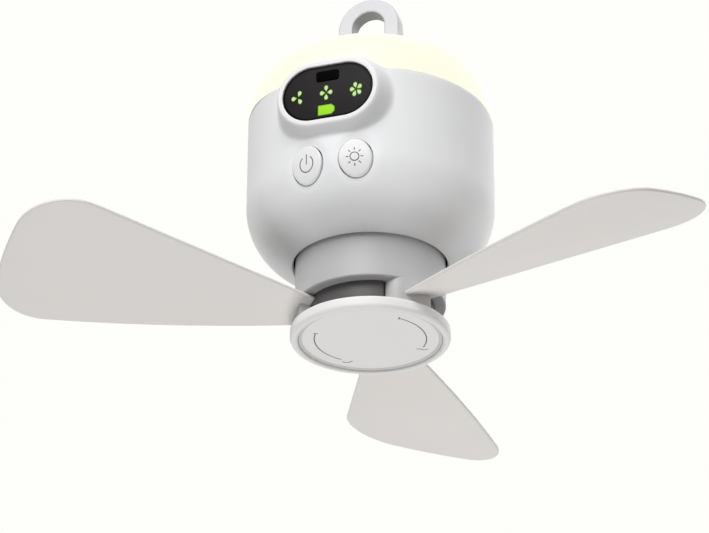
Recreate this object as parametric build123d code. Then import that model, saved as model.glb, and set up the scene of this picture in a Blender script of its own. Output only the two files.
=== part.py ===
from build123d import *
from math import asin, cos, degrees, radians, sin, sqrt, tan
import os

# Heights count up from the twist cap's lower face until the pieces are saved, where the
# origin moves to the point inside the hook that hangs on something. The display and the
# push buttons face -Y. Lengths are in millimetres, angles in degrees from +X.

# Twist cap and its bayonet
CAP_R = 29.0
CAP_HEIGHT = 4.7
CAP_RIM = 3.0
CAP_EDGE = 1.7
CAP_RIM_EDGE = 0.8
DISC_DEPTH = 1.2
DISC_THICK = 0.8
DISC_GAP = 0.12
DISC_LEDGE = 1.5
CAP_WEB = 1.3
SPIGOT_R = 12.0
SPIGOT_BORE_R = 9.0
SPIGOT_FLOOR = 2.4
LUG_COUNT = 3
LUG_REACH = 2.0
LUG_THICK = 1.0
LUG_SPAN = 24.0
LUG_GAP = 0.2
NOTCH_SLACK = 3.0
CAP_TWIST = 30.0
TWIST_FIT = 0.1
ARROW_R = 20.4
ARROW_LINE = 0.3
ARROW_DEPTH = 0.25
ARROW_SWEEP = 80.0
ARROW_HEAD = 2.2
ARROW_HEADS_AT = (136.0, 40.0)

# Blades
BLADE_COUNT = 3
FIRST_BLADE_AT = 96.9
SWEEP_R = 135.0
BLADE_THICK = 1.8
BLADE_EDGE = 0.7
BLADE_PITCH = 15.65
BLADE_RISE = 1.1
LEAD_ANGLE = 18.1
LEAD_BACK = 2.2
TRAIL_ANGLE = 13.0
TRAIL_START = 8.6
TRAIL_MIDDLE = (66.6, 20.5)
TIP_ROUND = 18.8
PLATE_START = 19.0
PLATE_LIFT = 1.1
ROOT_OUTER_R = 27.3
ROOT_HEIGHT = 8.6
ROOT_TRAIL_SPAN = 35.0
ROOT_STEP_AT = 3.0
ROOT_STEP = 2.0
ROOT_SIDE_GAP = 0.3
ROOT_CAP_GAP = 0.2
ROOT_FIT = 0.3
PEG_AT_R = 20.0
PEG_R = 2.0
PEG_LENGTH = 4.5
PEG_FIT = 0.05

# Turning hub, the neck that shows below the shell
HUB_R = 27.35
HUB_WALL = 2.05
HUB_FLOOR = 2.5
HUB_HEIGHT = 25.0
HUB_EDGE = 0.6
HUB_BOSS_R = 5.5
HUB_BOSS_HEIGHT = 3.6
NECK_SHOWS = 16.4

# Motor
SHAFT_R = 2.0
SHAFT_SOCKET = 4.6
SHAFT_FIT = 0.03
BEARING_R = 4.0
BEARING_WIDTH = 3.0
BEARING_PLAY = 0.5
TUBE_R = 5.2
TUBE_BORE_R = 2.6
BELL_WALL = 1.7
BELL_FLOOR = 1.5
BELL_GAP = 0.25
BELL_HEIGHT = 20.0
BELL_HOLE_GAP = 0.5
MAGNET_COUNT = 12
MAGNET_THICK = 2.2
MAGNET_HEIGHT = 13.0
MAGNET_SPAN = 27.0
AIR_GAP = 0.6
TOOTH_COUNT = 9
TOOTH_WIDTH = 3.2
SHOE_THICK = 2.2
SHOE_SPAN = 31.0
YOKE_R = 8.6
STATOR_HEIGHT = 10.0
STATOR_FIT = 0.02
COIL_START_R = 10.6
COIL_THICK = 1.7
COIL_GAP = 0.05
CLIP_R = 3.4
CLIP_THICK = 0.6
CLIP_PLAY = 0.2
CLIP_MOUTH = 2.4
SHAFT_TAIL = 0.8

# Shell
SHELL_R = 45.7
SHELL_WALL = 2.0
SHELL_HEIGHT = 58.2
BOTTOM_ROUND = 25.0
SHELL_RIM_EDGE = 1.0
HUB_GAP = 1.55
BRACKET_BOSSES_AT = (90.0, 222.0, 318.0)
BRACKET_BOSS_INSET = 6.2
BRACKET_BOSS_R = 3.0
LAMP_BOSSES_AT = (45.0, 135.0, 225.0, 315.0)
LAMP_BOSS_INSET = 4.1
LAMP_BOSS_R = 4.4
LAMP_BOSS_HEIGHT = 11.5

# Display
DISPLAY_UP = 47.3
HUMP_PROUD = 3.5
HUMP_WIDTH = 41.6
HUMP_HEIGHT = 30.4
HUMP_LIFT = 1.3
HUMP_EDGE = 2.2
HUMP_DOME_GAP = 0.3
WINDOW_WIDTH = 34.2
WINDOW_HEIGHT = 22.0
WINDOW_SINK = 0.6
WINDOW_THICK = 1.4
WINDOW_GAP = 0.1
WINDOW_EDGE = 0.3
WINDOW_LEDGE = 1.8
LEDGE_THICK = 1.6
BOARD_MARGIN = 1.1
BOARD_GAP = 0.15
ICON_DEPTH = 0.4
ICON_ROW_UP = -0.6
ICON_PITCH = 11.4
PETAL_COUNTS = (3, 4, 5)
PETAL_ANGLES = (64.0, 90.0, 102.0)
ICON_RADIUS = 2.7
PETAL_R = 0.7
PETAL_POINT_R = 0.2
PETAL_POINT_AT = 0.75
BATTERY_ICON = (6.2, 4.1)
BATTERY_ICON_UP = -7.3
BATTERY_CORNER = 1.3
IR_SIZE = (8.4, 4.2)
IR_UP = 6.5
IR_CORNER = 1.2
IR_PROUD = 0.4
IR_SUNK = 0.4
LED_SIZE = (1.6, 1.0, 0.8)
RECEIVER_SIZE = (5.0, 1.2, 4.0)

# Push buttons
BUTTON_UP = 21.2
BUTTON_PITCH = 18.0
BUTTON_WIDTH = 11.7
BUTTON_HEIGHT = 14.2
BUTTON_PROUD = 0.5
BUTTON_GAP = 0.4
BUTTON_FLANGE = 1.2
BUTTON_FLANGE_GAP = 0.3
BUTTON_FLANGE_THICK = 1.2
BUTTON_STEM_R = 2.0
BUTTON_TRAVEL = 0.6
BUTTON_REST_GAP = 0.7
BUTTON_EDGE = 0.35
SYMBOL_DEPTH = 0.3
SYMBOL_LINE = 0.45
POWER_R = 2.8
POWER_OPENING = 70.0
POWER_BAR = 3.8
SUN_R = 1.6
SUN_RAY_COUNT = 8
SUN_RAY_FROM = 2.4
SUN_RAY_TO = 3.4

# Boards and switches
BOARD_THICK = 1.6
DISPLAY_BOARD_THICK = 1.2
MAIN_BOARD_WIDTH = 46.0
MAIN_BOARD_HEIGHT = 20.5
MAIN_BOARD_INSET = 10.7
SWITCH_SIZE = 6.0
SWITCH_BODY = 3.0
PLUNGER_R = 1.7
CHARGE_BOARD_WIDTH = 22.0
CHARGE_BOARD_GAP = 1.1
USB_OVERHANG = 4.15
RAIL_HEIGHT = 2.0
RAIL_WIDTH = 3.0
USB_WIDTH = 8.94
USB_HEIGHT = 3.26
USB_DEPTH = 7.35
USB_WALL = 0.35
USB_TONGUE = 0.7
USB_SINK = 1.15
USB_GAP = 0.35

# Motor bracket, battery tray and cells
BRACKET_THICK = 2.5
BRACKET_WALL_GAP = 3.3
TRAY_WALL_GAP = 3.7
TRAY_FLOOR = 1.5
FRONT_FLAT_INSET = 9.3
HUB_BRACKET_GAP = 4.5
TRAY_HOLE_R = 5.0
CELL_R = 9.2
CELL_LENGTH = 65.0
CELL_PITCH = 19.0
CELL_FIT = 0.1
CELL_SEAT = 0.5
CELL_NUB_R = 2.8
CELL_NUB = 0.8
CRADLE_HEIGHT = 7.0
CRADLE_SIDE = 0.6
TAB_THICK = 0.3
TAB_HEIGHT = 8.0
END_WALL = 1.5
END_WALL_HEIGHT = 14.0
END_WALL_LENGTH = 34.0
END_WALL_BORE_GAP = 0.4
END_GAP = 0.6
POST_WIDTH = 5.0
POST_PITCH = 34.0
POST_HEIGHT = 14.0
STRAP_WIDTH = 16.0
STRAP_THICK = 1.5
STRAP_GAP = 0.2
STRAP_FOOT = 4.5

# Lamp under the diffuser
TRAY_SIDE_GAP = 0.3
LAMP_TRAY_THICK = 1.5
LAMP_TRAY_DOWN = 3.1
LAMP_BOARD_GAP = 0.4
LAMP_BOARD_HOLE_R = 14.0
LAMP_BOARD_THICK = 1.2
LAMP_LED_COUNT = 16
LAMP_LED_INSET = 8.0
LAMP_LED_SIZE = (3.5, 2.8, 0.8)
DOME_STEP = 0.3
DOME_SHOULDER = 20.0
DOME_SKIRT = 3.0
DOME_WALL = 1.6
SPIGOT_WALL = 1.5
SPIGOT_GAP = 0.1

# Hook and its base
BASE_R = 14.0
BASE_THICK = 3.0
BASE_EDGE = 1.0
BASE_SCREWS_AT_R = 9.5
POST_R = 3.4
EAR_GAP = 0.3
EAR_RISE = 3.6
HOOK_R = 12.0
HOOK_BAR = 5.7
HOOK_THICK = 6.7
HOOK_LEG = 13.6
HOOK_FLOOR_GAP = 0.25
HOOK_EDGE = 0.8
PIN_R = 1.5
PIN_FIT = 0.05
PIN_INSET = 0.4

# Small screws
SCREW_R = 1.25
SCREW_HEAD_R = 2.2
SCREW_HEAD = 1.4
SCREW_FIT = 0.02
SCREW_CLEAR = 0.15
LONG_SCREW = 9.5
SHORT_SCREW = 5.0
PILOT_EXTRA = 0.5
DRIVE_R = 1.0
DRIVE_DEPTH = 0.7

# Heights that follow from the sizes above
DISC_TOP = DISC_DEPTH + DISC_THICK
WEB_LOW = CAP_HEIGHT - CAP_WEB
ROOT_LOW = CAP_HEIGHT + ROOT_CAP_GAP
HUB_LOW = ROOT_LOW + ROOT_HEIGHT
HUB_FLOOR_TOP = HUB_LOW + HUB_FLOOR
HUB_TOP = HUB_LOW + HUB_HEIGHT
HUB_BORE_R = HUB_R - HUB_WALL
LUG_TOP = WEB_LOW - LUG_GAP
LUG_LOW = LUG_TOP - LUG_THICK
LUG_R = SPIGOT_R + LUG_REACH
BELL_R = HUB_BORE_R - BELL_GAP
MAGNET_R = BELL_R - BELL_WALL
STATOR_R = MAGNET_R - MAGNET_THICK - AIR_GAP
BEARING_LOW = HUB_FLOOR_TOP + HUB_BOSS_HEIGHT + BEARING_PLAY
BRACKET_LOW = HUB_TOP + HUB_BRACKET_GAP
BRACKET_TOP = BRACKET_LOW + BRACKET_THICK
STATOR_MIDDLE = HUB_FLOOR_TOP + BELL_HEIGHT - MAGNET_HEIGHT / 2
UPPER_BEARING_LOW = BRACKET_TOP - CLIP_THICK - CLIP_PLAY - BEARING_WIDTH
CLIP_LOW = UPPER_BEARING_LOW + BEARING_WIDTH + CLIP_PLAY
SHAFT_TOP = CLIP_LOW + CLIP_THICK + SHAFT_TAIL
TRAY_TOP = BRACKET_TOP + TRAY_FLOOR
CELL_MIDDLE = TRAY_TOP + CELL_SEAT + CELL_R
LIP_Z = HUB_LOW + NECK_SHOWS
HOLE_R = HUB_R + HUB_GAP
CORNER_R = SHELL_R - BOTTOM_ROUND
CORNER_Z = LIP_Z + sqrt(BOTTOM_ROUND**2 - (HOLE_R - CORNER_R) ** 2)
SHELL_TOP = LIP_Z + SHELL_HEIGHT
BORE_R = SHELL_R - SHELL_WALL
HUMP_FACE = SHELL_R + HUMP_PROUD
BRACKET_BOSS_AT_R = BORE_R - BRACKET_BOSS_INSET
BRACKET_R = BORE_R - BRACKET_WALL_GAP
TRAY_R = BORE_R - TRAY_WALL_GAP
FRONT_FLAT = BORE_R - FRONT_FLAT_INSET
MAIN_BOARD_FACE = BORE_R - MAIN_BOARD_INSET
LAMP_BOSS_AT_R = BORE_R - LAMP_BOSS_INSET
LAMP_BOARD_R = LAMP_BOSS_AT_R - SCREW_HEAD_R - LAMP_BOARD_GAP
LAMP_LED_AT_R = LAMP_BOARD_R - LAMP_LED_INSET
DOME_R = SHELL_R - DOME_STEP
DISPLAY_Z = LIP_Z + DISPLAY_UP
BUTTON_Z = LIP_Z + BUTTON_UP
WINDOW_FACE = HUMP_FACE - WINDOW_SINK
WINDOW_BACK = WINDOW_FACE - WINDOW_THICK
LEDGE_BACK = WINDOW_BACK - LEDGE_THICK
LAMP_TRAY_TOP = SHELL_TOP - LAMP_TRAY_DOWN
LAMP_TRAY_LOW = LAMP_TRAY_TOP - LAMP_TRAY_THICK
LAMP_BOARD_TOP = LAMP_TRAY_TOP + LAMP_BOARD_THICK
DOME_TOP = SHELL_TOP + DOME_SKIRT + DOME_SHOULDER
BASE_TOP = DOME_TOP + BASE_THICK
PIVOT_Z = BASE_TOP + HOOK_FLOOR_GAP + HOOK_THICK / 2
ARCH_Z = PIVOT_Z + HOOK_LEG
HOOK_INNER_R = HOOK_R - HOOK_BAR
HANG_Z = ARCH_Z + HOOK_INNER_R
USB_Z = TRAY_TOP + RAIL_HEIGHT + BOARD_THICK + USB_HEIGHT / 2
USB_MOUTH = SHELL_R - USB_SINK
CHARGE_BOARD_TO = USB_MOUTH - USB_OVERHANG
STRAP_END = CELL_PITCH / 2 + CELL_R + STRAP_GAP + STRAP_THICK + STRAP_FOOT
CHARGE_BOARD_FROM = STRAP_END + CHARGE_BOARD_GAP
SLICE = 1.0


def disc(radius, low, high, x=0.0, y=0.0):
    """A round upright solid between two heights."""
    return Pos(x, y, (low + high) / 2) * Cylinder(radius, high - low)


def ring(outer, inner, low, high):
    """A round tube about the spin axis."""
    return disc(outer, low, high) - disc(inner, low, high)


def block(x_from, x_to, y_from, y_to, low, high):
    """A box between two corners."""
    middle = Pos((x_from + x_to) / 2, (y_from + y_to) / 2, (low + high) / 2)
    return middle * Box(x_to - x_from, y_to - y_from, high - low)


def sector(outer, inner, start, end, low, high):
    """A slice of a tube between two bearings."""
    a, b = radians(start), radians(end)
    edges = [
        CenterArc((0, 0), outer, start, end - start),
        Line((outer * cos(b), outer * sin(b)), (inner * cos(b), inner * sin(b))),
        CenterArc((0, 0), inner, start, end - start),
        Line((inner * cos(a), inner * sin(a)), (outer * cos(a), outer * sin(a))),
    ]
    return extrude(Pos(0, 0, low) * make_face(edges), high - low)


def bearing_point(radius, angle):
    """The plan position at a radius and a bearing."""
    return radius * cos(radians(angle)), radius * sin(radians(angle))


def turned(angle):
    """A turn about the spin axis."""
    return Rot(0, 0, angle)


def front(sketch, near, far):
    """A prism of a front-view sketch, between two distances in front of the axis."""
    return extrude(Plane.XZ.offset(near) * sketch, far - near)


def barrel(offset):
    """The shell's outer form, grown or shrunk by an offset, as one closed solid."""
    radius = SHELL_R + offset
    form = disc(radius, CORNER_Z - BOTTOM_ROUND - offset, SHELL_TOP)
    return fillet(form.edges().group_by(Axis.Z)[0], BOTTOM_ROUND + offset)


def screw(x, y, seat, length):
    """A pan-head screw that points down, its head standing on the seat height."""
    head = disc(SCREW_HEAD_R, seat, seat + SCREW_HEAD, x, y)
    head = fillet(head.edges().group_by(Axis.Z)[-1], SCREW_HEAD / 3)
    drive_low = seat + SCREW_HEAD - DRIVE_DEPTH
    drive = Pos(x, y, drive_low) * extrude(RegularPolygon(DRIVE_R, 6), SCREW_HEAD)
    return head + disc(SCREW_R, seat - length, seat, x, y) - drive


def pilot(x, y, seat, length):
    """The hole that a screw cuts its thread in."""
    low = seat - length - PILOT_EXTRA
    return disc(SCREW_R + SCREW_FIT, low, seat + SLICE, x, y)


def passage(x, y, low, high):
    """A clearance hole for a screw's shank."""
    return disc(SCREW_R + SCREW_CLEAR, low - SLICE, high + SLICE, x, y)


def save(node, *pieces):
    """Write one node, with the hanging point as its origin."""
    solids = [solid for piece in pieces for solid in piece.solids()]
    whole = Compound(solids).moved(Location((0, 0, -HANG_Z)))
    export_step(whole, f"parts/{node}.step")


# ---------------------------------------------------------------- twist cap


def lug_angles():
    """Bearings of the bayonet lugs."""
    return [FIRST_BLADE_AT + i * 360 / LUG_COUNT for i in range(LUG_COUNT)]


def lock_cap():
    cap = disc(CAP_R, 0, CAP_HEIGHT)
    cap = fillet(cap.edges().group_by(Axis.Z)[0], CAP_EDGE)
    cap = fillet(cap.edges().group_by(Axis.Z)[-1], CAP_EDGE / 2)
    inner = CAP_R - CAP_RIM
    cap -= disc(inner, 0, DISC_TOP)
    cap = fillet(cap.edges().group_by(Axis.Z)[0].sort_by(SortBy.LENGTH)[0], CAP_RIM_EDGE)
    cap -= disc(inner - DISC_LEDGE, DISC_TOP, WEB_LOW)
    cap -= disc(SPIGOT_R + TWIST_FIT, WEB_LOW, CAP_HEIGHT)
    half = (LUG_SPAN + NOTCH_SLACK) / 2
    for angle in lug_angles():
        middle = angle - CAP_TWIST
        cap -= sector(LUG_R + LUG_GAP, SPIGOT_R - SLICE, middle - half, middle + half,
                      WEB_LOW, CAP_HEIGHT)
    return cap


def arrow(head_at, sweep):
    """A thin curved arrow that ends in a head at the given bearing."""
    line = sector(ARROW_R + ARROW_LINE / 2, ARROW_R - ARROW_LINE / 2,
                  min(head_at, head_at - sweep), max(head_at, head_at - sweep),
                  DISC_DEPTH, DISC_DEPTH + ARROW_DEPTH)
    x, y = bearing_point(ARROW_R, head_at)
    ahead = head_at + (90 if sweep > 0 else -90)
    tip = bearing_point(ARROW_HEAD, ahead)
    wide = bearing_point(ARROW_HEAD / 3, ahead + 90)
    corners = [(x + tip[0], y + tip[1]), (x + wide[0], y + wide[1]), (x - wide[0], y - wide[1])]
    head = make_face(Polyline(*corners, close=True))
    return line + extrude(Pos(0, 0, DISC_DEPTH) * head, ARROW_DEPTH)


def cap_disc():
    plate = disc(CAP_R - CAP_RIM - DISC_GAP, DISC_DEPTH, DISC_TOP)
    plate = fillet(plate.edges().group_by(Axis.Z)[0], DISC_THICK / 2)
    sweeps = (-ARROW_SWEEP, ARROW_SWEEP)
    for head_at, sweep in zip(ARROW_HEADS_AT, sweeps):
        plate -= arrow(head_at, sweep)
    return plate


# ---------------------------------------------------------------- rotor


def blade_angles():
    """Bearings of the blades' mid-lines."""
    return [FIRST_BLADE_AT + i * 360 / BLADE_COUNT for i in range(BLADE_COUNT)]


def rotor_hub():
    hub = disc(HUB_R, HUB_LOW, HUB_TOP)
    hub = fillet(hub.edges().group_by(Axis.Z)[0], HUB_EDGE)
    hub -= disc(HUB_BORE_R, HUB_FLOOR_TOP, HUB_TOP)
    hub += disc(HUB_BOSS_R, HUB_LOW, HUB_FLOOR_TOP + HUB_BOSS_HEIGHT)
    hub += disc(SPIGOT_R, LUG_LOW, HUB_LOW)
    for angle in lug_angles():
        hub += sector(LUG_R, SPIGOT_R - SLICE, angle - LUG_SPAN / 2, angle + LUG_SPAN / 2,
                      LUG_LOW, LUG_TOP)
    hub -= disc(SPIGOT_BORE_R, LUG_LOW, HUB_LOW - SPIGOT_FLOOR)
    for angle in blade_angles():
        x, y = bearing_point(PEG_AT_R, angle)
        hub += disc(PEG_R, HUB_LOW - PEG_LENGTH, HUB_LOW, x, y)
    shaft_low = HUB_FLOOR_TOP + HUB_BOSS_HEIGHT - SHAFT_SOCKET
    return hub - disc(SHAFT_R, shaft_low, HUB_TOP)


def blade_outline():
    """The blade's flat outline, with x along its mid-line and y to the leading side."""
    lead_root = (PLATE_START, PLATE_START * tan(radians(LEAD_ANGLE)) - LEAD_BACK)
    lead_end = LEAD_ANGLE - degrees(asin(LEAD_BACK * cos(radians(LEAD_ANGLE)) / SWEEP_R))
    lead_tip = bearing_point(SWEEP_R, lead_end)
    trail_root = (PLATE_START, -TRAIL_START)
    trail_middle = (TRAIL_MIDDLE[0], -TRAIL_MIDDLE[1])
    trail_tip = bearing_point(SWEEP_R, -TRAIL_ANGLE)
    edges = [
        Line(lead_root, lead_tip),
        CenterArc((0, 0), SWEEP_R, -TRAIL_ANGLE, lead_end + TRAIL_ANGLE),
        ThreePointArc(trail_tip, trail_middle, trail_root),
        Line(trail_root, lead_root),
    ]
    face = make_face(edges)
    tips = [v for v in face.vertices() if v.X > PLATE_START + SLICE]
    return fillet(tips, TIP_ROUND)


def blade(angle):
    """One paddle with its root block, at a bearing about the axis."""
    plate = extrude(blade_outline(), BLADE_THICK)
    faces = plate.faces().sort_by(Axis.Z)
    rims = faces[0].edges() + faces[-1].edges()
    plate = fillet([e for e in rims if e.center().X > PLATE_START + SLICE], BLADE_EDGE)
    middle = ROOT_LOW + ROOT_HEIGHT / 2 + PLATE_LIFT
    tilt = Pos(0, 0, middle) * Rot(BLADE_PITCH, 0, 0) * Rot(0, -BLADE_RISE, 0)
    plate = tilt * Pos(0, 0, -BLADE_THICK / 2) * plate
    root = sector(ROOT_OUTER_R, SPIGOT_R + ROOT_FIT, -ROOT_TRAIL_SPAN, ROOT_STEP_AT,
                  ROOT_LOW, HUB_LOW)
    lead_span = 360 / BLADE_COUNT - ROOT_TRAIL_SPAN - degrees(ROOT_SIDE_GAP / SPIGOT_R)
    root += sector(ROOT_OUTER_R - ROOT_STEP, SPIGOT_R + ROOT_FIT, ROOT_STEP_AT, lead_span,
                   ROOT_LOW, HUB_LOW)
    whole = plate + root
    whole -= disc(PEG_R + PEG_FIT, HUB_LOW - PEG_LENGTH - PEG_FIT, HUB_LOW, PEG_AT_R, 0)
    return turned(angle) * whole


# ---------------------------------------------------------------- motor


def motor_shaft():
    shaft = disc(SHAFT_R, HUB_FLOOR_TOP + HUB_BOSS_HEIGHT - SHAFT_SOCKET, SHAFT_TOP)
    groove = ring(SHAFT_R, SHAFT_R - CLIP_THICK / 2, CLIP_LOW, CLIP_LOW + CLIP_THICK)
    return shaft - groove


def retaining_clip():
    clip = ring(CLIP_R, SHAFT_R - CLIP_THICK / 2, CLIP_LOW, CLIP_LOW + CLIP_THICK)
    mouth = block(0, CLIP_R, -CLIP_MOUTH / 2, CLIP_MOUTH / 2, CLIP_LOW, CLIP_LOW + CLIP_THICK)
    return clip - mouth


def motor_bell():
    low = HUB_FLOOR_TOP
    bell = disc(BELL_R, low, low + BELL_HEIGHT)
    bell -= disc(MAGNET_R, low + BELL_FLOOR, low + BELL_HEIGHT)
    return bell - disc(HUB_BOSS_R + BELL_HOLE_GAP, low, low + BELL_FLOOR)


def magnets():
    low = HUB_FLOOR_TOP + BELL_HEIGHT - MAGNET_HEIGHT
    pieces = []
    for i in range(MAGNET_COUNT):
        middle = i * 360 / MAGNET_COUNT
        pieces.append(sector(MAGNET_R, MAGNET_R - MAGNET_THICK, middle - MAGNET_SPAN / 2,
                             middle + MAGNET_SPAN / 2, low, low + MAGNET_HEIGHT))
    return pieces


def stator_core():
    low = STATOR_MIDDLE - STATOR_HEIGHT / 2
    high = low + STATOR_HEIGHT
    core = disc(YOKE_R, low, high)
    for i in range(TOOTH_COUNT):
        turn = turned(i * 360 / TOOTH_COUNT)
        tooth = block(0, STATOR_R - SHOE_THICK / 2, -TOOTH_WIDTH / 2, TOOTH_WIDTH / 2, low, high)
        shoe = sector(STATOR_R, STATOR_R - SHOE_THICK, -SHOE_SPAN / 2, SHOE_SPAN / 2, low, high)
        core += turn * tooth
        core += turn * shoe
    return core - disc(TUBE_R + STATOR_FIT, low, high)


def stator_coils():
    inner_w = TOOTH_WIDTH / 2 + COIL_GAP
    inner_h = STATOR_HEIGHT / 2 + COIL_GAP
    outer_w = inner_w + COIL_THICK
    outer_h = inner_h + COIL_THICK
    end = sqrt((STATOR_R - SHOE_THICK) ** 2 - outer_w**2) - COIL_GAP
    coil = block(COIL_START_R, end, -outer_w, outer_w, -outer_h, outer_h)
    coil = fillet(coil.edges().filter_by(Axis.X), COIL_THICK / 2)
    coil -= block(COIL_START_R, end, -inner_w, inner_w, -inner_h, inner_h)
    places = [turned(i * 360 / TOOTH_COUNT) * Pos(0, 0, STATOR_MIDDLE) for i in range(TOOTH_COUNT)]
    return [place * coil for place in places]


def bearings():
    lows = (BEARING_LOW, UPPER_BEARING_LOW)
    return [ring(BEARING_R, SHAFT_R + SHAFT_FIT, low, low + BEARING_WIDTH) for low in lows]


def bracket_holes(low, high):
    """Clearance holes over the bracket's bosses."""
    holes = []
    for angle in BRACKET_BOSSES_AT:
        x, y = bearing_point(BRACKET_BOSS_AT_R, angle)
        holes.append(passage(x, y, low, high))
    return holes


def flat_front(low, high):
    """What is cut off a round plate to leave room for the push buttons."""
    return block(-SHELL_R, SHELL_R, -SHELL_R, -FRONT_FLAT, low, high)


def motor_bracket():
    bracket = disc(BRACKET_R, BRACKET_LOW, BRACKET_TOP) - flat_front(BRACKET_LOW, BRACKET_TOP)
    for hole in bracket_holes(BRACKET_LOW, BRACKET_TOP):
        bracket -= hole
    bracket += disc(TUBE_R, BEARING_LOW, BRACKET_LOW)
    bracket -= disc(TUBE_BORE_R, BEARING_LOW, BRACKET_TOP)
    bracket -= disc(BEARING_R, BEARING_LOW, BEARING_LOW + BEARING_WIDTH)
    for x, y in strap_screw_places():
        bracket -= pilot(x, y, TRAY_TOP + STRAP_THICK, SHORT_SCREW)
    return bracket - disc(BEARING_R, UPPER_BEARING_LOW, BRACKET_TOP)


# ---------------------------------------------------------------- shell


def button_xs():
    """The push buttons' places across the front: power, then light."""
    return (-BUTTON_PITCH / 2, BUTTON_PITCH / 2)


def window_outline(margin):
    """The display's rounded outline, wider by a margin all round."""
    slot = SlotOverall(WINDOW_WIDTH + 2 * margin, WINDOW_HEIGHT + 2 * margin)
    return Pos(0, DISPLAY_Z) * slot


def hump():
    """The raised frame round the display, which stands up in front of the diffuser."""
    outline = Pos(0, DISPLAY_Z + HUMP_LIFT) * SlotOverall(HUMP_WIDTH, HUMP_HEIGHT)
    frame = front(outline, CORNER_R, HUMP_FACE)
    frame = fillet(frame.edges().group_by(Axis.Y)[0], HUMP_EDGE)
    high = SHELL_TOP + HUMP_HEIGHT
    frame -= disc(SHELL_R - SHELL_WALL, 0, SHELL_TOP)
    return frame - disc(DOME_R + HUMP_DOME_GAP, SHELL_TOP, high)


def shell_bosses():
    """Posts inside the shell for the motor bracket and the lamp tray."""
    posts = []
    for angle in BRACKET_BOSSES_AT:
        x, y = bearing_point(BRACKET_BOSS_AT_R, angle)
        posts.append(disc(BRACKET_BOSS_R, LIP_Z, BRACKET_LOW, x, y))
    for angle in LAMP_BOSSES_AT:
        x, y = bearing_point(LAMP_BOSS_AT_R, angle)
        posts.append(disc(LAMP_BOSS_R, LAMP_TRAY_LOW - LAMP_BOSS_HEIGHT, LAMP_TRAY_LOW, x, y))
    return posts


def body_shell():
    solid = barrel(0)
    shell = fillet(solid.edges().group_by(Axis.Z)[-1], SHELL_RIM_EDGE) - barrel(-SHELL_WALL)
    shell += hump()
    for post in shell_bosses():
        shell += post & barrel(-SHELL_WALL / 2)
    shell -= disc(HOLE_R, 0, CORNER_Z)
    shell -= front(window_outline(0), WINDOW_BACK, HUMP_FACE)
    shell -= front(window_outline(-WINDOW_LEDGE), CORNER_R, HUMP_FACE)
    shell -= front(window_outline(-BOARD_MARGIN + BOARD_GAP), CORNER_R, LEDGE_BACK)
    for x in button_xs():
        shell -= front(button_outline(x, BUTTON_GAP), CORNER_R, HUMP_FACE)
    opening = Pos(0, USB_Z) * SlotOverall(USB_WIDTH + 2 * USB_GAP, USB_HEIGHT + 2 * USB_GAP)
    shell -= front(opening, -SHELL_R - SLICE, -SHELL_R + SHELL_WALL + SLICE)
    for angle in BRACKET_BOSSES_AT:
        x, y = bearing_point(BRACKET_BOSS_AT_R, angle)
        shell -= pilot(x, y, BRACKET_LOW, LONG_SCREW - TRAY_FLOOR - BRACKET_THICK)
    for angle in LAMP_BOSSES_AT:
        x, y = bearing_point(LAMP_BOSS_AT_R, angle)
        shell -= pilot(x, y, LAMP_TRAY_LOW, SHORT_SCREW - LAMP_TRAY_THICK)
    return shell


# ---------------------------------------------------------------- display


def display_window():
    window = front(window_outline(-WINDOW_GAP), WINDOW_BACK, WINDOW_FACE)
    window = fillet(window.edges().group_by(Axis.Y)[0], WINDOW_EDGE)
    for petals, start, x in icon_places():
        window -= fan_icon(petals, start, x)
    return window - battery_icon() - ir_window()


def icon_places():
    """Petal count, first petal's angle and place across of each speed icon."""
    return list(zip(PETAL_COUNTS, PETAL_ANGLES, (-ICON_PITCH, 0, ICON_PITCH)))


def fan_icon(petals, start, x):
    """A small fan symbol let into the window's face: petals that point to its middle."""
    outer = Pos(ICON_RADIUS - PETAL_R, 0) * Circle(PETAL_R)
    point = Pos(PETAL_POINT_AT, 0) * Circle(PETAL_POINT_R)
    petal = make_hull(outer.edges() + point.edges())
    placed = [Pos(x, DISPLAY_Z + ICON_ROW_UP) * Rot(0, 0, start + i * 360 / petals) * petal
              for i in range(petals)]
    return Compound([front(face, WINDOW_FACE - ICON_DEPTH, WINDOW_FACE) for face in placed])


def battery_icon():
    """A battery symbol whose right-hand corners are clipped."""
    width, height = BATTERY_ICON
    plate = Rectangle(width, height)
    plate = chamfer(plate.vertices().group_by(Axis.X)[-1], BATTERY_CORNER)
    placed = Pos(0, DISPLAY_Z + BATTERY_ICON_UP) * plate
    return front(placed, WINDOW_FACE - ICON_DEPTH, WINDOW_FACE)


def ir_window():
    """The raised lens over the remote control's receiver."""
    outline = Pos(0, DISPLAY_Z + IR_UP) * RectangleRounded(*IR_SIZE, IR_CORNER)
    return front(outline, WINDOW_FACE - IR_SUNK, WINDOW_FACE + IR_PROUD)


def display_board():
    return front(window_outline(-BOARD_MARGIN), LEDGE_BACK - DISPLAY_BOARD_THICK, LEDGE_BACK)


def display_leds():
    """Lamps behind the icons, seated on the display board."""
    width, depth, height = LED_SIZE
    ups = [(x, ICON_ROW_UP) for _, _, x in icon_places()] + [(0, BATTERY_ICON_UP)]
    return [front(Pos(x, DISPLAY_Z + up) * Rectangle(width, height), LEDGE_BACK,
                  LEDGE_BACK + depth) for x, up in ups]


def ir_receiver():
    width, depth, height = RECEIVER_SIZE
    outline = Pos(0, DISPLAY_Z + IR_UP) * Rectangle(width, height)
    return front(outline, LEDGE_BACK, LEDGE_BACK + depth)


# ---------------------------------------------------------------- push buttons


def button_outline(x, margin):
    """A push button's oval, wider by a margin all round."""
    oval = Ellipse(BUTTON_WIDTH / 2 + margin, BUTTON_HEIGHT / 2 + margin)
    return Pos(x, BUTTON_Z) * oval


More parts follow.
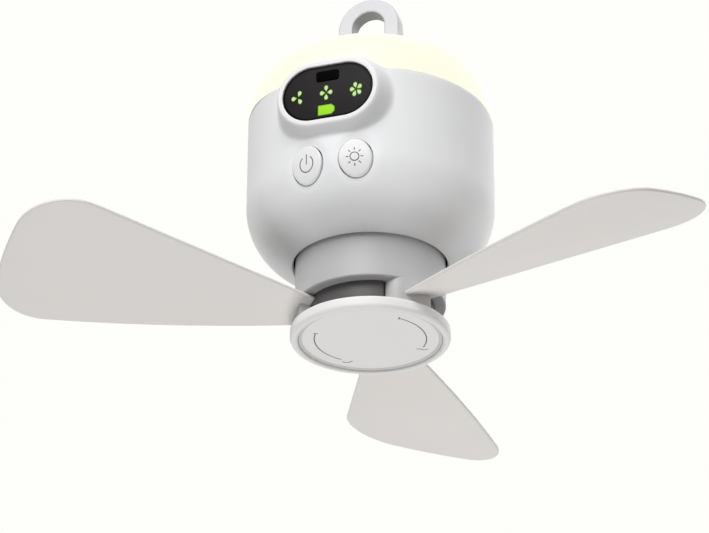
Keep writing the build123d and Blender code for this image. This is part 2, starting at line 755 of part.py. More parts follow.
def button_skin(depth):
    """A layer of the button's face, down to a depth below it."""
    return barrel(BUTTON_PROUD) - barrel(BUTTON_PROUD - depth)


def push_button(x, symbol):
    flange_face = -SHELL_WALL - BUTTON_FLANGE_GAP
    back = barrel(flange_face - BUTTON_FLANGE_THICK)
    cap = front(button_outline(x, 0), FRONT_FLAT, HUMP_FACE) & barrel(BUTTON_PROUD)
    cap = fillet(cap.edges().group_by(Axis.Y)[0], BUTTON_EDGE)
    flange = front(button_outline(x, BUTTON_FLANGE), CORNER_R, HUMP_FACE) & barrel(flange_face)
    button = (cap + flange) - back
    stem_end = MAIN_BOARD_FACE + SWITCH_BODY + BUTTON_REST_GAP + BUTTON_TRAVEL
    stem = front(Pos(x, BUTTON_Z) * Circle(BUTTON_STEM_R), stem_end, BORE_R - BUTTON_FLANGE_THICK)
    return button + stem - symbol


def power_symbol(x):
    """A ring with a gap at the top and a short bar through the gap."""
    half = POWER_OPENING / 2
    line = Circle(POWER_R + SYMBOL_LINE / 2) - Circle(POWER_R - SYMBOL_LINE / 2)
    wedge = Polyline((0, 0), bearing_point(2 * POWER_R, 90 - half),
                     bearing_point(2 * POWER_R, 90 + half), close=True)
    bar = Pos(0, POWER_BAR / 2) * Rectangle(SYMBOL_LINE, POWER_BAR)
    symbol = Pos(x, BUTTON_Z) * ((line - make_face(wedge)) + bar)
    return front(symbol, CORNER_R, HUMP_FACE) & button_skin(SYMBOL_DEPTH)


def light_symbol(x):
    """A small sun: a ring and its rays."""
    symbol = Circle(SUN_R + SYMBOL_LINE / 2) - Circle(SUN_R - SYMBOL_LINE / 2)
    middle = (SUN_RAY_FROM + SUN_RAY_TO) / 2
    for i in range(SUN_RAY_COUNT):
        ray = Pos(middle, 0) * Rectangle(SUN_RAY_TO - SUN_RAY_FROM, SYMBOL_LINE)
        symbol += Rot(0, 0, i * 360 / SUN_RAY_COUNT) * ray
    placed = Pos(x, BUTTON_Z) * symbol
    return front(placed, CORNER_R, HUMP_FACE) & button_skin(SYMBOL_DEPTH)


# ---------------------------------------------------------------- boards


def main_board():
    half = MAIN_BOARD_WIDTH / 2
    back = -(MAIN_BOARD_FACE - BOARD_THICK)
    board = block(-half, half, -MAIN_BOARD_FACE, back, TRAY_TOP, TRAY_TOP + MAIN_BOARD_HEIGHT)
    for x, height in board_screw_places():
        board -= front(Pos(x, height) * Circle(SCREW_R + SCREW_CLEAR), -back, MAIN_BOARD_FACE)
    return board


def board_screw_places():
    """Where the main board's screws enter the tray's posts."""
    height = TRAY_TOP + POST_HEIGHT - POST_WIDTH / 2
    return [(-POST_PITCH / 2, height), (POST_PITCH / 2, height)]


def tact_switches():
    pieces = []
    half = SWITCH_SIZE / 2
    for x in button_xs():
        body = front(Pos(x, BUTTON_Z) * Rectangle(2 * half, 2 * half), MAIN_BOARD_FACE,
                     MAIN_BOARD_FACE + SWITCH_BODY - BUTTON_TRAVEL)
        plunger = front(Pos(x, BUTTON_Z) * Circle(PLUNGER_R), MAIN_BOARD_FACE,
                        MAIN_BOARD_FACE + SWITCH_BODY)
        pieces.append(body + plunger)
    return pieces


def charge_board():
    low = TRAY_TOP + RAIL_HEIGHT
    half = CHARGE_BOARD_WIDTH / 2
    return block(-half, half, CHARGE_BOARD_FROM, CHARGE_BOARD_TO, low, low + BOARD_THICK)


def usb_socket():
    """The charging socket: a rounded metal sleeve with a tongue inside."""
    sleeve = Pos(0, USB_Z) * SlotOverall(USB_WIDTH, USB_HEIGHT)
    hollow = Pos(0, USB_Z) * SlotOverall(USB_WIDTH - 2 * USB_WALL, USB_HEIGHT - 2 * USB_WALL)
    tongue = Pos(0, USB_Z) * Rectangle(USB_WIDTH - 2 * USB_HEIGHT + 4 * USB_WALL, USB_TONGUE)
    back = USB_MOUTH - USB_DEPTH
    socket = front(sleeve, -USB_MOUTH, -back)
    socket -= front(hollow, -USB_MOUTH, -back - USB_WALL)
    return socket + front(tongue, -USB_MOUTH + USB_SINK, -back)


# ---------------------------------------------------------------- battery


def battery_tray():
    tray = disc(TRAY_R, BRACKET_TOP, TRAY_TOP) - flat_front(BRACKET_TOP, TRAY_TOP)
    half = CELL_LENGTH / 2
    side = CELL_PITCH / 2 + CELL_R + CRADLE_SIDE
    tray += block(-half, half, -side, side, TRAY_TOP, TRAY_TOP + CRADLE_HEIGHT)
    for y in cell_ys():
        place = Pos(0, y, CELL_MIDDLE) * Rot(0, 90, 0)
        tray -= place * Cylinder(CELL_R + CELL_FIT, CELL_LENGTH + SLICE)
    tray -= strap_foot_room()
    wall = half + END_GAP + CELL_NUB
    room = disc(BORE_R - END_WALL_BORE_GAP, TRAY_TOP, TRAY_TOP + END_WALL_HEIGHT)
    for face in (-wall - END_WALL, wall):
        end = block(face, face + END_WALL, -END_WALL_LENGTH / 2, END_WALL_LENGTH / 2, TRAY_TOP,
                    TRAY_TOP + END_WALL_HEIGHT)
        tray += end & room
    for x, _ in board_screw_places():
        tray += block(x - POST_WIDTH / 2, x + POST_WIDTH / 2, -(MAIN_BOARD_FACE - BOARD_THICK),
                      -side, TRAY_TOP, TRAY_TOP + POST_HEIGHT)
    for x in (-CHARGE_BOARD_WIDTH / 2, CHARGE_BOARD_WIDTH / 2 - RAIL_WIDTH):
        tray += block(x, x + RAIL_WIDTH, CHARGE_BOARD_FROM, TRAY_R - RAIL_WIDTH, TRAY_TOP,
                      TRAY_TOP + RAIL_HEIGHT)
    tray -= disc(TRAY_HOLE_R, BRACKET_TOP, TRAY_TOP + CRADLE_HEIGHT)
    for hole in bracket_holes(BRACKET_TOP, TRAY_TOP):
        tray -= hole
    for x, height in board_screw_places():
        hole = Pos(x, height) * Circle(SCREW_R + SCREW_FIT)
        reach = SHORT_SCREW - BOARD_THICK + PILOT_EXTRA
        tray -= front(hole, MAIN_BOARD_FACE - BOARD_THICK - reach, MAIN_BOARD_FACE)
    for x, y in strap_screw_places():
        tray -= passage(x, y, BRACKET_TOP, TRAY_TOP)
    return tray


def cell_ys():
    """The two cells' places, front and back."""
    return (-CELL_PITCH / 2, CELL_PITCH / 2)


def battery_cells():
    pieces = []
    for y in cell_ys():
        cell = Cylinder(CELL_R, CELL_LENGTH)
        cell = fillet(cell.edges().group_by(Axis.Z)[-1], CELL_NUB)
        cell += Pos(0, 0, CELL_LENGTH / 2 + CELL_NUB / 2) * Cylinder(CELL_NUB_R, CELL_NUB)
        pieces.append(Pos(0, y, CELL_MIDDLE) * Rot(0, 90, 0) * cell)
    return pieces


def cell_tabs():
    """The welded strips that join the cells at each end."""
    half = CELL_LENGTH / 2
    width = CELL_PITCH / 2 + CELL_NUB_R
    low, high = CELL_MIDDLE - TAB_HEIGHT / 2, CELL_MIDDLE + TAB_HEIGHT / 2
    minus = block(-half - TAB_THICK, -half, -width, width, low, high)
    plus_face = half + CELL_NUB
    plus = block(plus_face, plus_face + TAB_THICK, -width, width, low, high)
    return [minus, plus]


def strap_feet():
    """How far out the strap's legs and feet stand, front and back."""
    leg = CELL_PITCH / 2 + CELL_R + STRAP_GAP
    return leg, leg + STRAP_THICK, leg + STRAP_THICK + STRAP_FOOT


def strap_foot_room():
    """The notch in the cradle where the strap's legs come down."""
    leg, _, foot = strap_feet()
    half = STRAP_WIDTH / 2 + STRAP_GAP
    high = TRAY_TOP + CRADLE_HEIGHT
    return (block(-half, half, leg - STRAP_GAP / 2, foot, TRAY_TOP, high)
            + block(-half, half, -foot, -leg + STRAP_GAP / 2, TRAY_TOP, high))


def strap_screw_places():
    _, outer, foot = strap_feet()
    middle = (outer + foot) / 2
    return [(0, -middle), (0, middle)]


def cell_strap():
    """The bridge that holds the cells down on their cradle."""
    leg, outer, foot = strap_feet()
    half = STRAP_WIDTH / 2
    top = CELL_MIDDLE + CELL_R + STRAP_GAP
    strap = block(-half, half, -outer, outer, top, top + STRAP_THICK)
    for side in (-1, 1):
        y_leg = sorted((side * leg, side * outer))
        y_foot = sorted((side * leg, side * foot))
        strap += block(-half, half, *y_leg, TRAY_TOP, top + STRAP_THICK)
        strap += block(-half, half, *y_foot, TRAY_TOP, TRAY_TOP + STRAP_THICK)
    for x, y in strap_screw_places():
        strap -= passage(x, y, TRAY_TOP, TRAY_TOP + STRAP_THICK)
    return strap


# ---------------------------------------------------------------- lamp


def base_posts():
    """The two posts that carry the hook's base through the lamp."""
    return [(0, -BASE_SCREWS_AT_R), (0, BASE_SCREWS_AT_R)]


def lamp_tray():
    tray = disc(BORE_R - TRAY_SIDE_GAP, LAMP_TRAY_LOW, LAMP_TRAY_TOP)
    for angle in LAMP_BOSSES_AT:
        x, y = bearing_point(LAMP_BOSS_AT_R, angle)
        tray -= passage(x, y, LAMP_TRAY_LOW, LAMP_TRAY_TOP)
    inside = DOME_TOP - DOME_WALL
    for x, y in base_posts():
        tray += disc(POST_R, LAMP_TRAY_TOP, inside, x, y)
    for x, y in base_posts():
        tray -= pilot(x, y, inside, LONG_SCREW - DOME_WALL - BASE_THICK + SCREW_HEAD)
    return tray


def lamp_board():
    return ring(LAMP_BOARD_R, LAMP_BOARD_HOLE_R, LAMP_TRAY_TOP, LAMP_BOARD_TOP)


def lamp_leds():
    width, depth, height = LAMP_LED_SIZE
    led = Pos(LAMP_LED_AT_R, 0, LAMP_BOARD_TOP + height / 2) * Box(depth, width, height)
    return [turned(i * 360 / LAMP_LED_COUNT) * led for i in range(LAMP_LED_COUNT)]


def dome(radius, shoulder, top):
    """A closed round dome with a straight skirt and a rounded shoulder."""
    form = disc(radius, SHELL_TOP, top)
    return fillet(form.edges().group_by(Axis.Z)[-1], shoulder)


def lamp_diffuser():
    inner = dome(DOME_R - DOME_WALL, DOME_SHOULDER - DOME_WALL, DOME_TOP - DOME_WALL)
    diffuser = dome(DOME_R, DOME_SHOULDER, DOME_TOP) - inner
    spigot = BORE_R - SPIGOT_GAP
    diffuser += ring(spigot, spigot - SPIGOT_WALL, LAMP_TRAY_TOP, SHELL_TOP + DOME_WALL)
    diffuser += ring(DOME_R, spigot - SPIGOT_WALL, SHELL_TOP, SHELL_TOP + DOME_WALL)
    for x, y in base_posts():
        diffuser -= passage(x, y, DOME_TOP - DOME_WALL, DOME_TOP)
    return diffuser


# ---------------------------------------------------------------- hook


def hook_base():
    base = disc(BASE_R, DOME_TOP, BASE_TOP)
    base = fillet(base.edges().group_by(Axis.Z)[-1], BASE_EDGE)
    half = HOOK_INNER_R - EAR_GAP
    depth = HOOK_THICK / 2
    base += block(-half, half, -depth, depth, DOME_TOP, PIVOT_Z)
    base += Pos(0, 0, PIVOT_Z) * Rot(0, 90, 0) * Cylinder(depth, 2 * half)
    base -= Pos(0, 0, PIVOT_Z) * Rot(0, 90, 0) * Cylinder(PIN_R, 2 * HOOK_R)
    seat = BASE_TOP - SCREW_HEAD
    for x, y in base_posts():
        base -= passage(x, y, DOME_TOP, BASE_TOP)
        base -= disc(SCREW_HEAD_R + SCREW_CLEAR, seat, BASE_TOP + SLICE, x, y)
    return base


def hook_pin():
    half = HOOK_R - PIN_INSET
    return Pos(0, 0, PIVOT_Z) * Rot(0, 90, 0) * Cylinder(PIN_R, 2 * half)


def hook():
    """A square-section bail: an arch on two legs whose ends turn on the pin."""
    depth = HOOK_THICK / 2
    arch = Pos(0, ARCH_Z) * (Circle(HOOK_R) + Pos(0, -HOOK_LEG / 2) * Rectangle(2 * HOOK_R, HOOK_LEG))
    gap = Circle(HOOK_INNER_R) + Pos(0, -HOOK_LEG / 2) * Rectangle(2 * HOOK_INNER_R, HOOK_LEG)
    bail = front(arch - Pos(0, ARCH_Z) * gap, -depth, depth)
    rims = bail.faces().filter_by(Plane.XZ).edges()
    bail = fillet([e for e in rims if e.center().Z > PIVOT_Z + SLICE], HOOK_EDGE)
    legs_middle = (HOOK_R + HOOK_INNER_R) / 2
    for x in (-legs_middle, legs_middle):
        knuckle = Pos(x, 0, PIVOT_Z) * Rot(0, 90, 0)
        bail += knuckle * Cylinder(depth, HOOK_BAR)
        bail -= knuckle * Cylinder(PIN_R + PIN_FIT, HOOK_BAR)
    return bail


# ---------------------------------------------------------------- screws


def bracket_screws():
    places = [bearing_point(BRACKET_BOSS_AT_R, angle) for angle in BRACKET_BOSSES_AT]
    return [screw(x, y, TRAY_TOP, LONG_SCREW) for x, y in places]


def lamp_screws():
    places = [bearing_point(LAMP_BOSS_AT_R, angle) for angle in LAMP_BOSSES_AT]
    return [screw(x, y, LAMP_TRAY_TOP, SHORT_SCREW) for x, y in places]


def strap_screws():
    return [screw(x, y, TRAY_TOP + STRAP_THICK, SHORT_SCREW) for x, y in strap_screw_places()]


def board_screws():
    pieces = []
    for x, height in board_screw_places():
        place = Pos(x, -MAIN_BOARD_FACE, height) * Rot(90, 0, 0)
        pieces.append(place * screw(0, 0, 0, SHORT_SCREW))
    return pieces


def base_screws():
    return [screw(x, y, BASE_TOP - SCREW_HEAD, LONG_SCREW) for x, y in base_posts()]


def main():
    os.makedirs("parts", exist_ok=True)
    power_x, light_x = button_xs()
    save("lock_cap", lock_cap())
    save("cap_disc", cap_disc())
    save("rotor_hub", rotor_hub())
    for number, angle in enumerate(blade_angles(), start=1):
        save(f"blade_{number}", blade(angle))
    save("motor_shaft", motor_shaft())
    save("retaining_clip", retaining_clip())
    save("motor_bell", motor_bell())
    save("magnets", *magnets())
    save("stator_core", stator_core())
    save("stator_coils", *stator_coils())
    save("bearings", *bearings())
    save("motor_bracket", motor_bracket())
    save("body_shell", body_shell())
    save("display_window", display_window())
    for name, place in zip(("low", "middle", "high"), icon_places()):
        save(f"speed_icon_{name}", fan_icon(*place))
    save("battery_icon", battery_icon())
    save("ir_window", ir_window())
    save("display_board", display_board())
    save("display_leds", *display_leds())
    save("ir_receiver", ir_receiver())
    power, light = power_symbol(power_x), light_symbol(light_x)
    save("power_button", push_button(power_x, power))
    save("power_symbol", power)
    save("light_button", push_button(light_x, light))
    save("light_symbol", light)
    save("main_board", main_board())
    save("tact_switches", *tact_switches())
    save("charge_board", charge_board())
    save("usb_socket", usb_socket())
    save("battery_tray", battery_tray())
    save("battery_cells", *battery_cells())
    save("cell_tabs", *cell_tabs())
    save("cell_strap", cell_strap())
    save("lamp_tray", lamp_tray())
    save("lamp_board", lamp_board())
    save("lamp_leds", *lamp_leds())
    save("lamp_diffuser", lamp_diffuser())
    save("hook_base", hook_base())
    save("hook_pin", hook_pin())
    save("hook", hook())
    save("bracket_screws", *bracket_screws())
    save("lamp_screws", *lamp_screws())
    save("strap_screws", *strap_screws())
    save("board_screws", *board_screws())
    save("base_screws", *base_screws())


if __name__ == "__main__":
    main()
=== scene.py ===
from math import acos, asin, atan2, cos, degrees, hypot, pi, radians, sin, sqrt, tan
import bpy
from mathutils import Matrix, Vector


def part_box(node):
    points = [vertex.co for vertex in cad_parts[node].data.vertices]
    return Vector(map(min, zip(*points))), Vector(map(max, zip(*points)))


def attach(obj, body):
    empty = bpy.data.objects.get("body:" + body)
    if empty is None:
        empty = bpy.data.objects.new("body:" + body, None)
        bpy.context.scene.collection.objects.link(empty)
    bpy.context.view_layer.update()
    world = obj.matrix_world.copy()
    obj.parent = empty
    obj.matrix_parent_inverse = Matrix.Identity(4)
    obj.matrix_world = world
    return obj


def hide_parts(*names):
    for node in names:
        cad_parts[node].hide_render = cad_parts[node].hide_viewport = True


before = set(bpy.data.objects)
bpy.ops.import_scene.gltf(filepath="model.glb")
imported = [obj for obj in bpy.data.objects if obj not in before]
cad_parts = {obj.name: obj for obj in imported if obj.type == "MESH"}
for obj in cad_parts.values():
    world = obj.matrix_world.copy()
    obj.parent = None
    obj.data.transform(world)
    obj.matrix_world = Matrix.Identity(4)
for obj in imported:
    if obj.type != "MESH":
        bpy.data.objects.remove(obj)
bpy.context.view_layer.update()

from types import SimpleNamespace

import bmesh
import bpy
from mathutils import Matrix, Vector
from mathutils.geometry import delaunay_2d_cdt

bl_info = {
    "name": "Camping fan",
    "version": (1, 0, 0),
    "blender": (4, 5, 0),
    "location": "3D View > Sidebar > Camping fan",
    "description": "Dresses a hanging camping fan with a lantern, piece by piece",
    "category": "Object",
}

MM = 0.001

# Pieces are drawn in millimetres. Heights count up from the twist cap's lower face. Bearings
# turn from +X towards +Y on the rotor, and from the display, at -Y, towards +X on the shell.
CAP_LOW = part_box("lock_cap")[0][2] / MM


def box_of(node):
    """A node's lowest and highest corners, as they are drawn."""
    return [Vector((x / MM, y / MM, z / MM - CAP_LOW)) for x, y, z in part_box(node)]


def in_frame(point):
    """A drawn point as a place in the frame, in metres."""
    return Vector((point[0], point[1], point[2] + CAP_LOW)) * MM


def heights(*drawn):
    """Drawn heights as heights in the frame, still in millimetres."""
    return [height + CAP_LOW for height in drawn]


# -------------------- sizes and colours


def length(label, about, value):
    return bpy.props.FloatProperty(name=label, description=about, default=value * MM,
                                   subtype="DISTANCE", unit="LENGTH", precision=5)


def angle(label, about, value):
    return bpy.props.FloatProperty(name=label, description=about, default=radians(value),
                                   subtype="ANGLE", unit="ROTATION")


def count(label, about, value):
    return bpy.props.IntProperty(name=label, description=about, default=value, min=1)


def tint(label, about, value):
    return bpy.props.FloatVectorProperty(name=label, description=about, default=value,
                                         size=3, subtype="COLOR", min=0.0, max=1.0)


class FanShell(bpy.types.PropertyGroup):
    """Sizes of the shell and of the soft mound round its display."""

    radius: length("Radius", "Outer radius of the round shell", 45.7)
    wall: length("Wall", "Thickness of the shell's wall", 2.0)
    corner: length("Lower corner", "Radius of the round lower corner", 25.0)
    lip: length("Lip", "Height of the lower opening's edge", 29.9)
    hole: length("Opening", "Radius of the opening round the neck", 28.9)
    rim: length("Rim", "Height of the upper rim", 88.1)
    rim_edge: length("Rim edge", "Rounding of the upper rim", 0.8)
    lip_edge: length("Lip edge", "Rounding of the lower opening's edge", 0.4)
    hole_edge: length("Cut-out edge", "Rounding of the openings for the display and buttons", 0.25)
    face: length("Frame face", "How far the display's frame stands in front of the axis", 49.2)
    frame_rim: length("Frame rim", "Flat rim round the display", 1.5)
    frame_slope: length("Frame slope", "Width of the frame's soft slope", 3.5)
    tab: length("Tab", "How far the frame stands up above the display", 4.7)
    tab_back: length("Tab back", "Radius of the tab's back, in front of the lamp", 45.72)
    tab_blend: length("Tab blend", "Softness of the step from the rim to the tab", 4.5)
    flank: length("Flank", "Lift of the rim beside the frame", 1.6)
    fine: length("Fine spacing", "Distance between points near the display", 0.65)
    coarse: length("Coarse spacing", "Distance between points elsewhere", 1.3)


class FanDisplay(bpy.types.PropertyGroup):
    """Sizes of the display window and its lit icons."""

    width: length("Width", "Width of the window", 34.2)
    height: length("Height", "Height of the window", 22.0)
    up: length("Height of middle", "Height of the window's middle", 77.2)
    gap: length("Gap", "Gap round the pane", 0.1)
    pane: length("Pane", "Thickness of the pane", 1.4)
    sink: length("Sink", "How deep the pane's face lies in its frame", 0.6)
    icon: length("Icon radius", "Radius of a speed icon", 2.75)
    petal: length("Petal", "Radius of a petal's round end", 0.88)
    outline: length("Outline", "Width of the icons' green outlines", 0.2)
    raised: length("Raised", "How far the icons stand on the pane", 0.05)
    battery_width: length("Battery width", "Width of the battery icon", 6.3)
    battery_height: length("Battery height", "Height of the battery icon", 4.1)
    lens_width: length("Lens width", "Width of the receiver's lens", 8.6)
    lens_height: length("Lens height", "Height of the receiver's lens", 4.2)


class FanButtons(bpy.types.PropertyGroup):
    """Sizes of the push buttons and their symbols."""

    width: length("Width", "Width of a button", 11.7)
    height: length("Height", "Height of a button", 14.2)
    up: length("Height of middle", "Height of the buttons' middles", 51.1)
    pitch: length("Pitch", "Distance between the buttons", 18.0)
    gap: length("Gap", "Gap round a button", 0.4)
    proud: length("Proud", "How far a button stands out of the shell", 0.5)
    edge: length("Edge", "Rounding of a button's rim", 0.45)
    depth: length("Depth", "Height of a button's side", 3.0)
    dish: length("Dish", "Depth of the soft dish round a button", 0.35)
    dish_width: length("Dish width", "Width of the soft dish round a button", 2.6)
    line: length("Line", "Width of the symbols' lines", 0.36)
    ink: length("Ink", "Thickness of the symbols' paint", 0.03)


class FanRotor(bpy.types.PropertyGroup):
    """Sizes of the blades and of the cap's printed arrows."""

    blades: count("Blades", "How many blades the fan has", 3)
    first: angle("First blade", "Bearing of the first blade", 96.9)
    sweep: length("Sweep", "Radius that the blades sweep", 135.0)
    thick: length("Thickness", "Thickness of a blade", 1.4)
    edge: length("Blade edge", "Rounding of a blade's edges", 0.6)
    pitch: angle("Pitch", "Tilt of a blade about its length", 15.65)
    rise: angle("Rise", "Upward slope of a blade", 1.1)
    middle: length("Blade height", "Height of the blades' middle plane on the axis", 10.3)
    tip: length("Tip", "Rounding of a blade's outer corners", 18.8)
    neck: length("Neck", "Radius of the turning neck", 27.35)
    arrow_at: length("Arrow radius", "Radius of the arrows on the cap", 20.2)
    arrow_line: length("Arrow line", "Width of the arrows' lines", 0.4)


class FanColours(bpy.types.PropertyGroup):
    """Colours of the finishes that show."""

    shell: tint("Shell", "White of the shell", (0.86, 0.865, 0.875))
    button: tint("Buttons", "White of the push buttons", (0.86, 0.85, 0.86))
    print: tint("Print", "Grey of the printed symbols", (0.10, 0.10, 0.11))
    # The neck's grey is painted shade: white plastic darkened for the shade under the shell; the
    # blade roots take it too.
    neck: tint("Neck", "White of the turning neck", (0.52, 0.52, 0.53))
    # The recess's near-black is painted shade: the walls under the neck are darkened for the deep
    # shade there.
    recess: tint("Recess", "Grey of the recess under the neck", (0.085, 0.08, 0.085))
    cap: tint("Cap", "White of the twist cap", (0.91, 0.90, 0.895))
    disc: tint("Cap disc", "White of the cap's disc", (0.88, 0.87, 0.865))
    blade: tint("Blades", "White of the blades", (0.85, 0.82, 0.795))
    hook: tint("Hook", "Grey of the hook", (0.68, 0.68, 0.71))
    lamp: tint("Lamp", "Glow of the diffuser", (1.0, 0.975, 0.79))
    pane: tint("Pane", "Tone inside the display window", (0.019, 0.017, 0.018))
    petal: tint("Petals", "Pale green of the lit petals", (0.82, 0.98, 0.48))
    outline: tint("Icon outlines", "Green of the petals' outlines", (0.20, 0.56, 0.05))
    battery: tint("Battery", "Green of the battery icon", (0.44, 0.96, 0.03))


SETTINGS = {"fan_shell": FanShell, "fan_display": FanDisplay, "fan_buttons": FanButtons,
            "fan_rotor": FanRotor, "fan_colours": FanColours}


def chosen(name):
    """One group of settings, with its lengths in millimetres."""
    group = getattr(bpy.context.scene, name)
    values = {}
    for key in SETTINGS[name].__annotations__:
        value = getattr(group, key)
        is_length = group.bl_rna.properties[key].subtype == "DISTANCE"
        values[key] = value / MM if is_length else value
    return SimpleNamespace(**values)


# -------------------- node trees


class Wiring:
    """A node tree under construction."""

    def __init__(self, tree):
        self.tree = tree

    def node(self, kind, settings=None, sockets=(), output=0):
        """Adds a node: its settings first, then its sockets' values or links."""
        made = self.tree.nodes.new(kind)
        for key, value in (settings or {}).items():
            setattr(made, key, value)
        pairs = sockets.items() if isinstance(sockets, dict) else enumerate(sockets)
        for key, value in pairs:
            self.feed(made.inputs[key], value)
        return Field(self, made.outputs[output]) if made.outputs else None

    def feed(self, socket, value):
        """Links a field to a socket, or sets its own value: a colour has three numbers."""
        if isinstance(value, Field):
            self.tree.links.new(value.socket, socket)
        else:
            socket.default_value = (*value, 1.0) if socket.type == "RGBA" else value


class Field:
    """A value in a node tree that ordinary arithmetic works on."""

    def __init__(self, wiring, socket):
        self.wiring, self.socket = wiring, socket

    def _math(self, operation, *values):
        return self.wiring.node("ShaderNodeMath", {"operation": operation}, values)

    def __add__(self, other):
        return self._math("ADD", self, other)

    def __sub__(self, other):
        return self._math("SUBTRACT", self, other)

    def __rsub__(self, other):
        return self._math("SUBTRACT", other, self)

    def __mul__(self, other):
        return self._math("MULTIPLY", self, other)

    __radd__, __rmul__ = __add__, __mul__

    def __abs__(self):
        return self._math("ABSOLUTE", self)

    def at_least(self, other):
        return self._math("MAXIMUM", self, other)

    def root(self):
        return self._math("SQRT", self)

    def step(self, start, end):
        """0 at a start and 1 at an end in millimetres, either way round, eased between."""
        return self.wiring.node("ShaderNodeMapRange", {"interpolation_type": "SMOOTHSTEP"},
                                {"Value": self, "From Min": start * MM, "From Max": end * MM})


def shade(colour, factor):
    """A colour made darker or lighter by a factor."""
    return tuple(min(1.0, channel * factor) for channel in colour)


BLACK = (0.001, 0.001, 0.001)
# A mark's tone, and how far it covers the finish under it. The first two marks and the fourth and
# fifth are painted shade, the third a painted highlight; the last two are real lines.
MARKS = {
    "cap rim": ((0.36, 0.36, 0.36), 0.52),
    "painted hook inner shade": ((0.10, 0.10, 0.105), 0.6),
    "painted frame lip highlight": ((0.85, 0.85, 0.85), 1.0),
    "painted underside shade": ((0.50, 0.50, 0.51), 0.5),
    "painted shadow under the frame": ((0.45, 0.45, 0.46), 0.32),
    "shut line": ((0.30, 0.30, 0.32), 0.6),
    "printed border": (BLACK, 1.0),
}


class Paint(Wiring):
    """A material under construction."""

    def __init__(self, name):
        self.material = bpy.data.materials.new(name)
        self.material.use_nodes = True
        super().__init__(self.material.node_tree)
        self.shader = self.tree.nodes["Principled BSDF"]

    def where(self):
        """The object's own coordinates, in metres."""
        return self.node("ShaderNodeTexCoord", output="Object")

    def place(self):
        """The object's own coordinates as three fields."""
        whole = self.where()
        return [self.node("ShaderNodeSeparateXYZ", None, (whole,), axis) for axis in range(3)]

    def noise(self, size, seed, detail=2.0, stretch=(1.0, 1.0, 1.0)):
        """Cloudy values about 0.5, with clouds of a size in millimetres."""
        moved = self.node("ShaderNodeMapping", None, {"Vector": self.where(), "Scale": stretch,
                                                      "Location": (seed,) * 3})
        return self.node("ShaderNodeTexNoise", None,
                         {"Vector": moved, "Scale": 1 / (size * MM), "Detail": detail})

    def mix(self, factor, start, end):
        """A colour between two colours."""
        return self.node("ShaderNodeMix", {"data_type": "RGBA", "clamp_factor": True},
                         {0: factor, 6: start, 7: end}, output=2)

    def vary(self, field, colour, darkest, lightest):
        """A colour that a field makes darker or lighter, between two factors."""
        return self.mix(field, shade(colour, darkest), shade(colour, lightest))

    def mark(self, tone, name, field):
        """A tone with one of the marks, as strong as a field says."""
        colour, cover = MARKS[name]
        return self.mix(field * cover, tone, colour)

    def bump(self, height, depth):
        """A normal from a height field of about 0 to 1, and its depth in millimetres."""
        return self.node("ShaderNodeBump", None, {"Height": height, "Distance": depth * MM})

    def finish(self, **sockets):
        """Feeds the shader, with its sockets' names in words joined by underscores."""
        for words, value in sockets.items():
            name = words.replace("_", " ").title().replace("Ior", "IOR")
            self.feed(self.shader.inputs[name], value)
        return self.material


# -------------------- marks on the finishes
# Each pair is where a mark begins and where it is whole, in millimetres.


DISC_EDGE = (24.4, 24.9)
RIM_SLOPE = (28.0, 24.9)
RIM_FACE = heights(1.8, 1.4)


def cap_painted_shade(paint, tone):
    """The cap's rim, darkened with painted shade where it slopes down to the disc."""
    x, y, z = paint.place()
    radius = (x * x + y * y).root()
    slope = radius.step(*DISC_EDGE) * radius.step(*RIM_SLOPE)
    return paint.mark(tone, "cap rim", slope * z.step(*RIM_FACE))


HOOK_MIDDLE = heights(131.3)[0]
HOOK_INNER = (6.6, 6.3)


def hook_painted_shade(paint, tone):
    """The hook's inner face, darkened with painted shade."""
    x, _, z = paint.place()
    high = (z - HOOK_MIDDLE * MM).at_least(0.0)
    return paint.mark(tone, "painted hook inner shade", (x * x + high * high).root().step(*HOOK_INNER))


def off_window(window, x, z):
    """How far a point lies outside the window's outline, and above the window's middle."""
    across = (abs(x) - window.straight * MM).at_least(0.0)
    above = z - heights(window.z)[0] * MM
    return (across * across + above * above).root() - window.up * MM, above


# Where the shell's marks lie: the painted highlight on the lip, the painted shade low down, the
# painted shadow below the frame, and the shut line.
LIP_EDGE = (1.1, 0.5)
LIP_FRONT = (-45.0, -47.0)
SHADED_UNDERSIDE = heights(43.0, 30.0)
LEFT_SHADE_SIDE = (-15.0, -46.0)
LEFT_SHADE_EXTRA = 0.56
BELOW_FRAME = (2.0, -11.0)
BELOW_FROM = (1.4, 2.6)
BELOW_FADE = (6.5, 3.0)
BELOW_FRONT = (-20.0, -30.0)
SHUT_LINE = 0.8
CLEAR_OF_FRAME = (8.0, 11.0)
BEHIND = (-20.0, 0.0)


def shell_shut_line_and_painted_light(barrel):
    """The shell's marks: a painted highlight on the display frame's lip, painted shade on the
    lower side, a painted shadow below the frame, and the shut line under the lamp.
    """
    rim = barrel.shell.rim

    def marks(paint, tone):
        x, y, z = paint.place()
        outside, above = off_window(barrel.window, x, z)
        # A pale band painted round the frame's lip: a painted highlight where its bevel catches
        # light.
        tone = paint.mark(tone, "painted frame lip highlight", outside.step(*LIP_EDGE) * y.step(*LIP_FRONT))
        # Painted shade low on the shell, stronger on the left.
        side = x.step(*LEFT_SHADE_SIDE) * LEFT_SHADE_EXTRA + 1
        tone = paint.mark(tone, "painted underside shade", z.step(*SHADED_UNDERSIDE) * side)
        # A painted shadow on the shell just below the display's frame.
        below = outside.step(*BELOW_FROM) * outside.step(*BELOW_FADE)
        below = below * above.step(*BELOW_FRAME) * y.step(*BELOW_FRONT)
        tone = paint.mark(tone, "painted shadow under the frame", below)
        line = z.step(*heights(rim - SHUT_LINE, rim))
        apart = outside.step(*CLEAR_OF_FRAME).at_least(y.step(*BEHIND))
        return paint.mark(tone, "shut line", line * apart)

    return marks


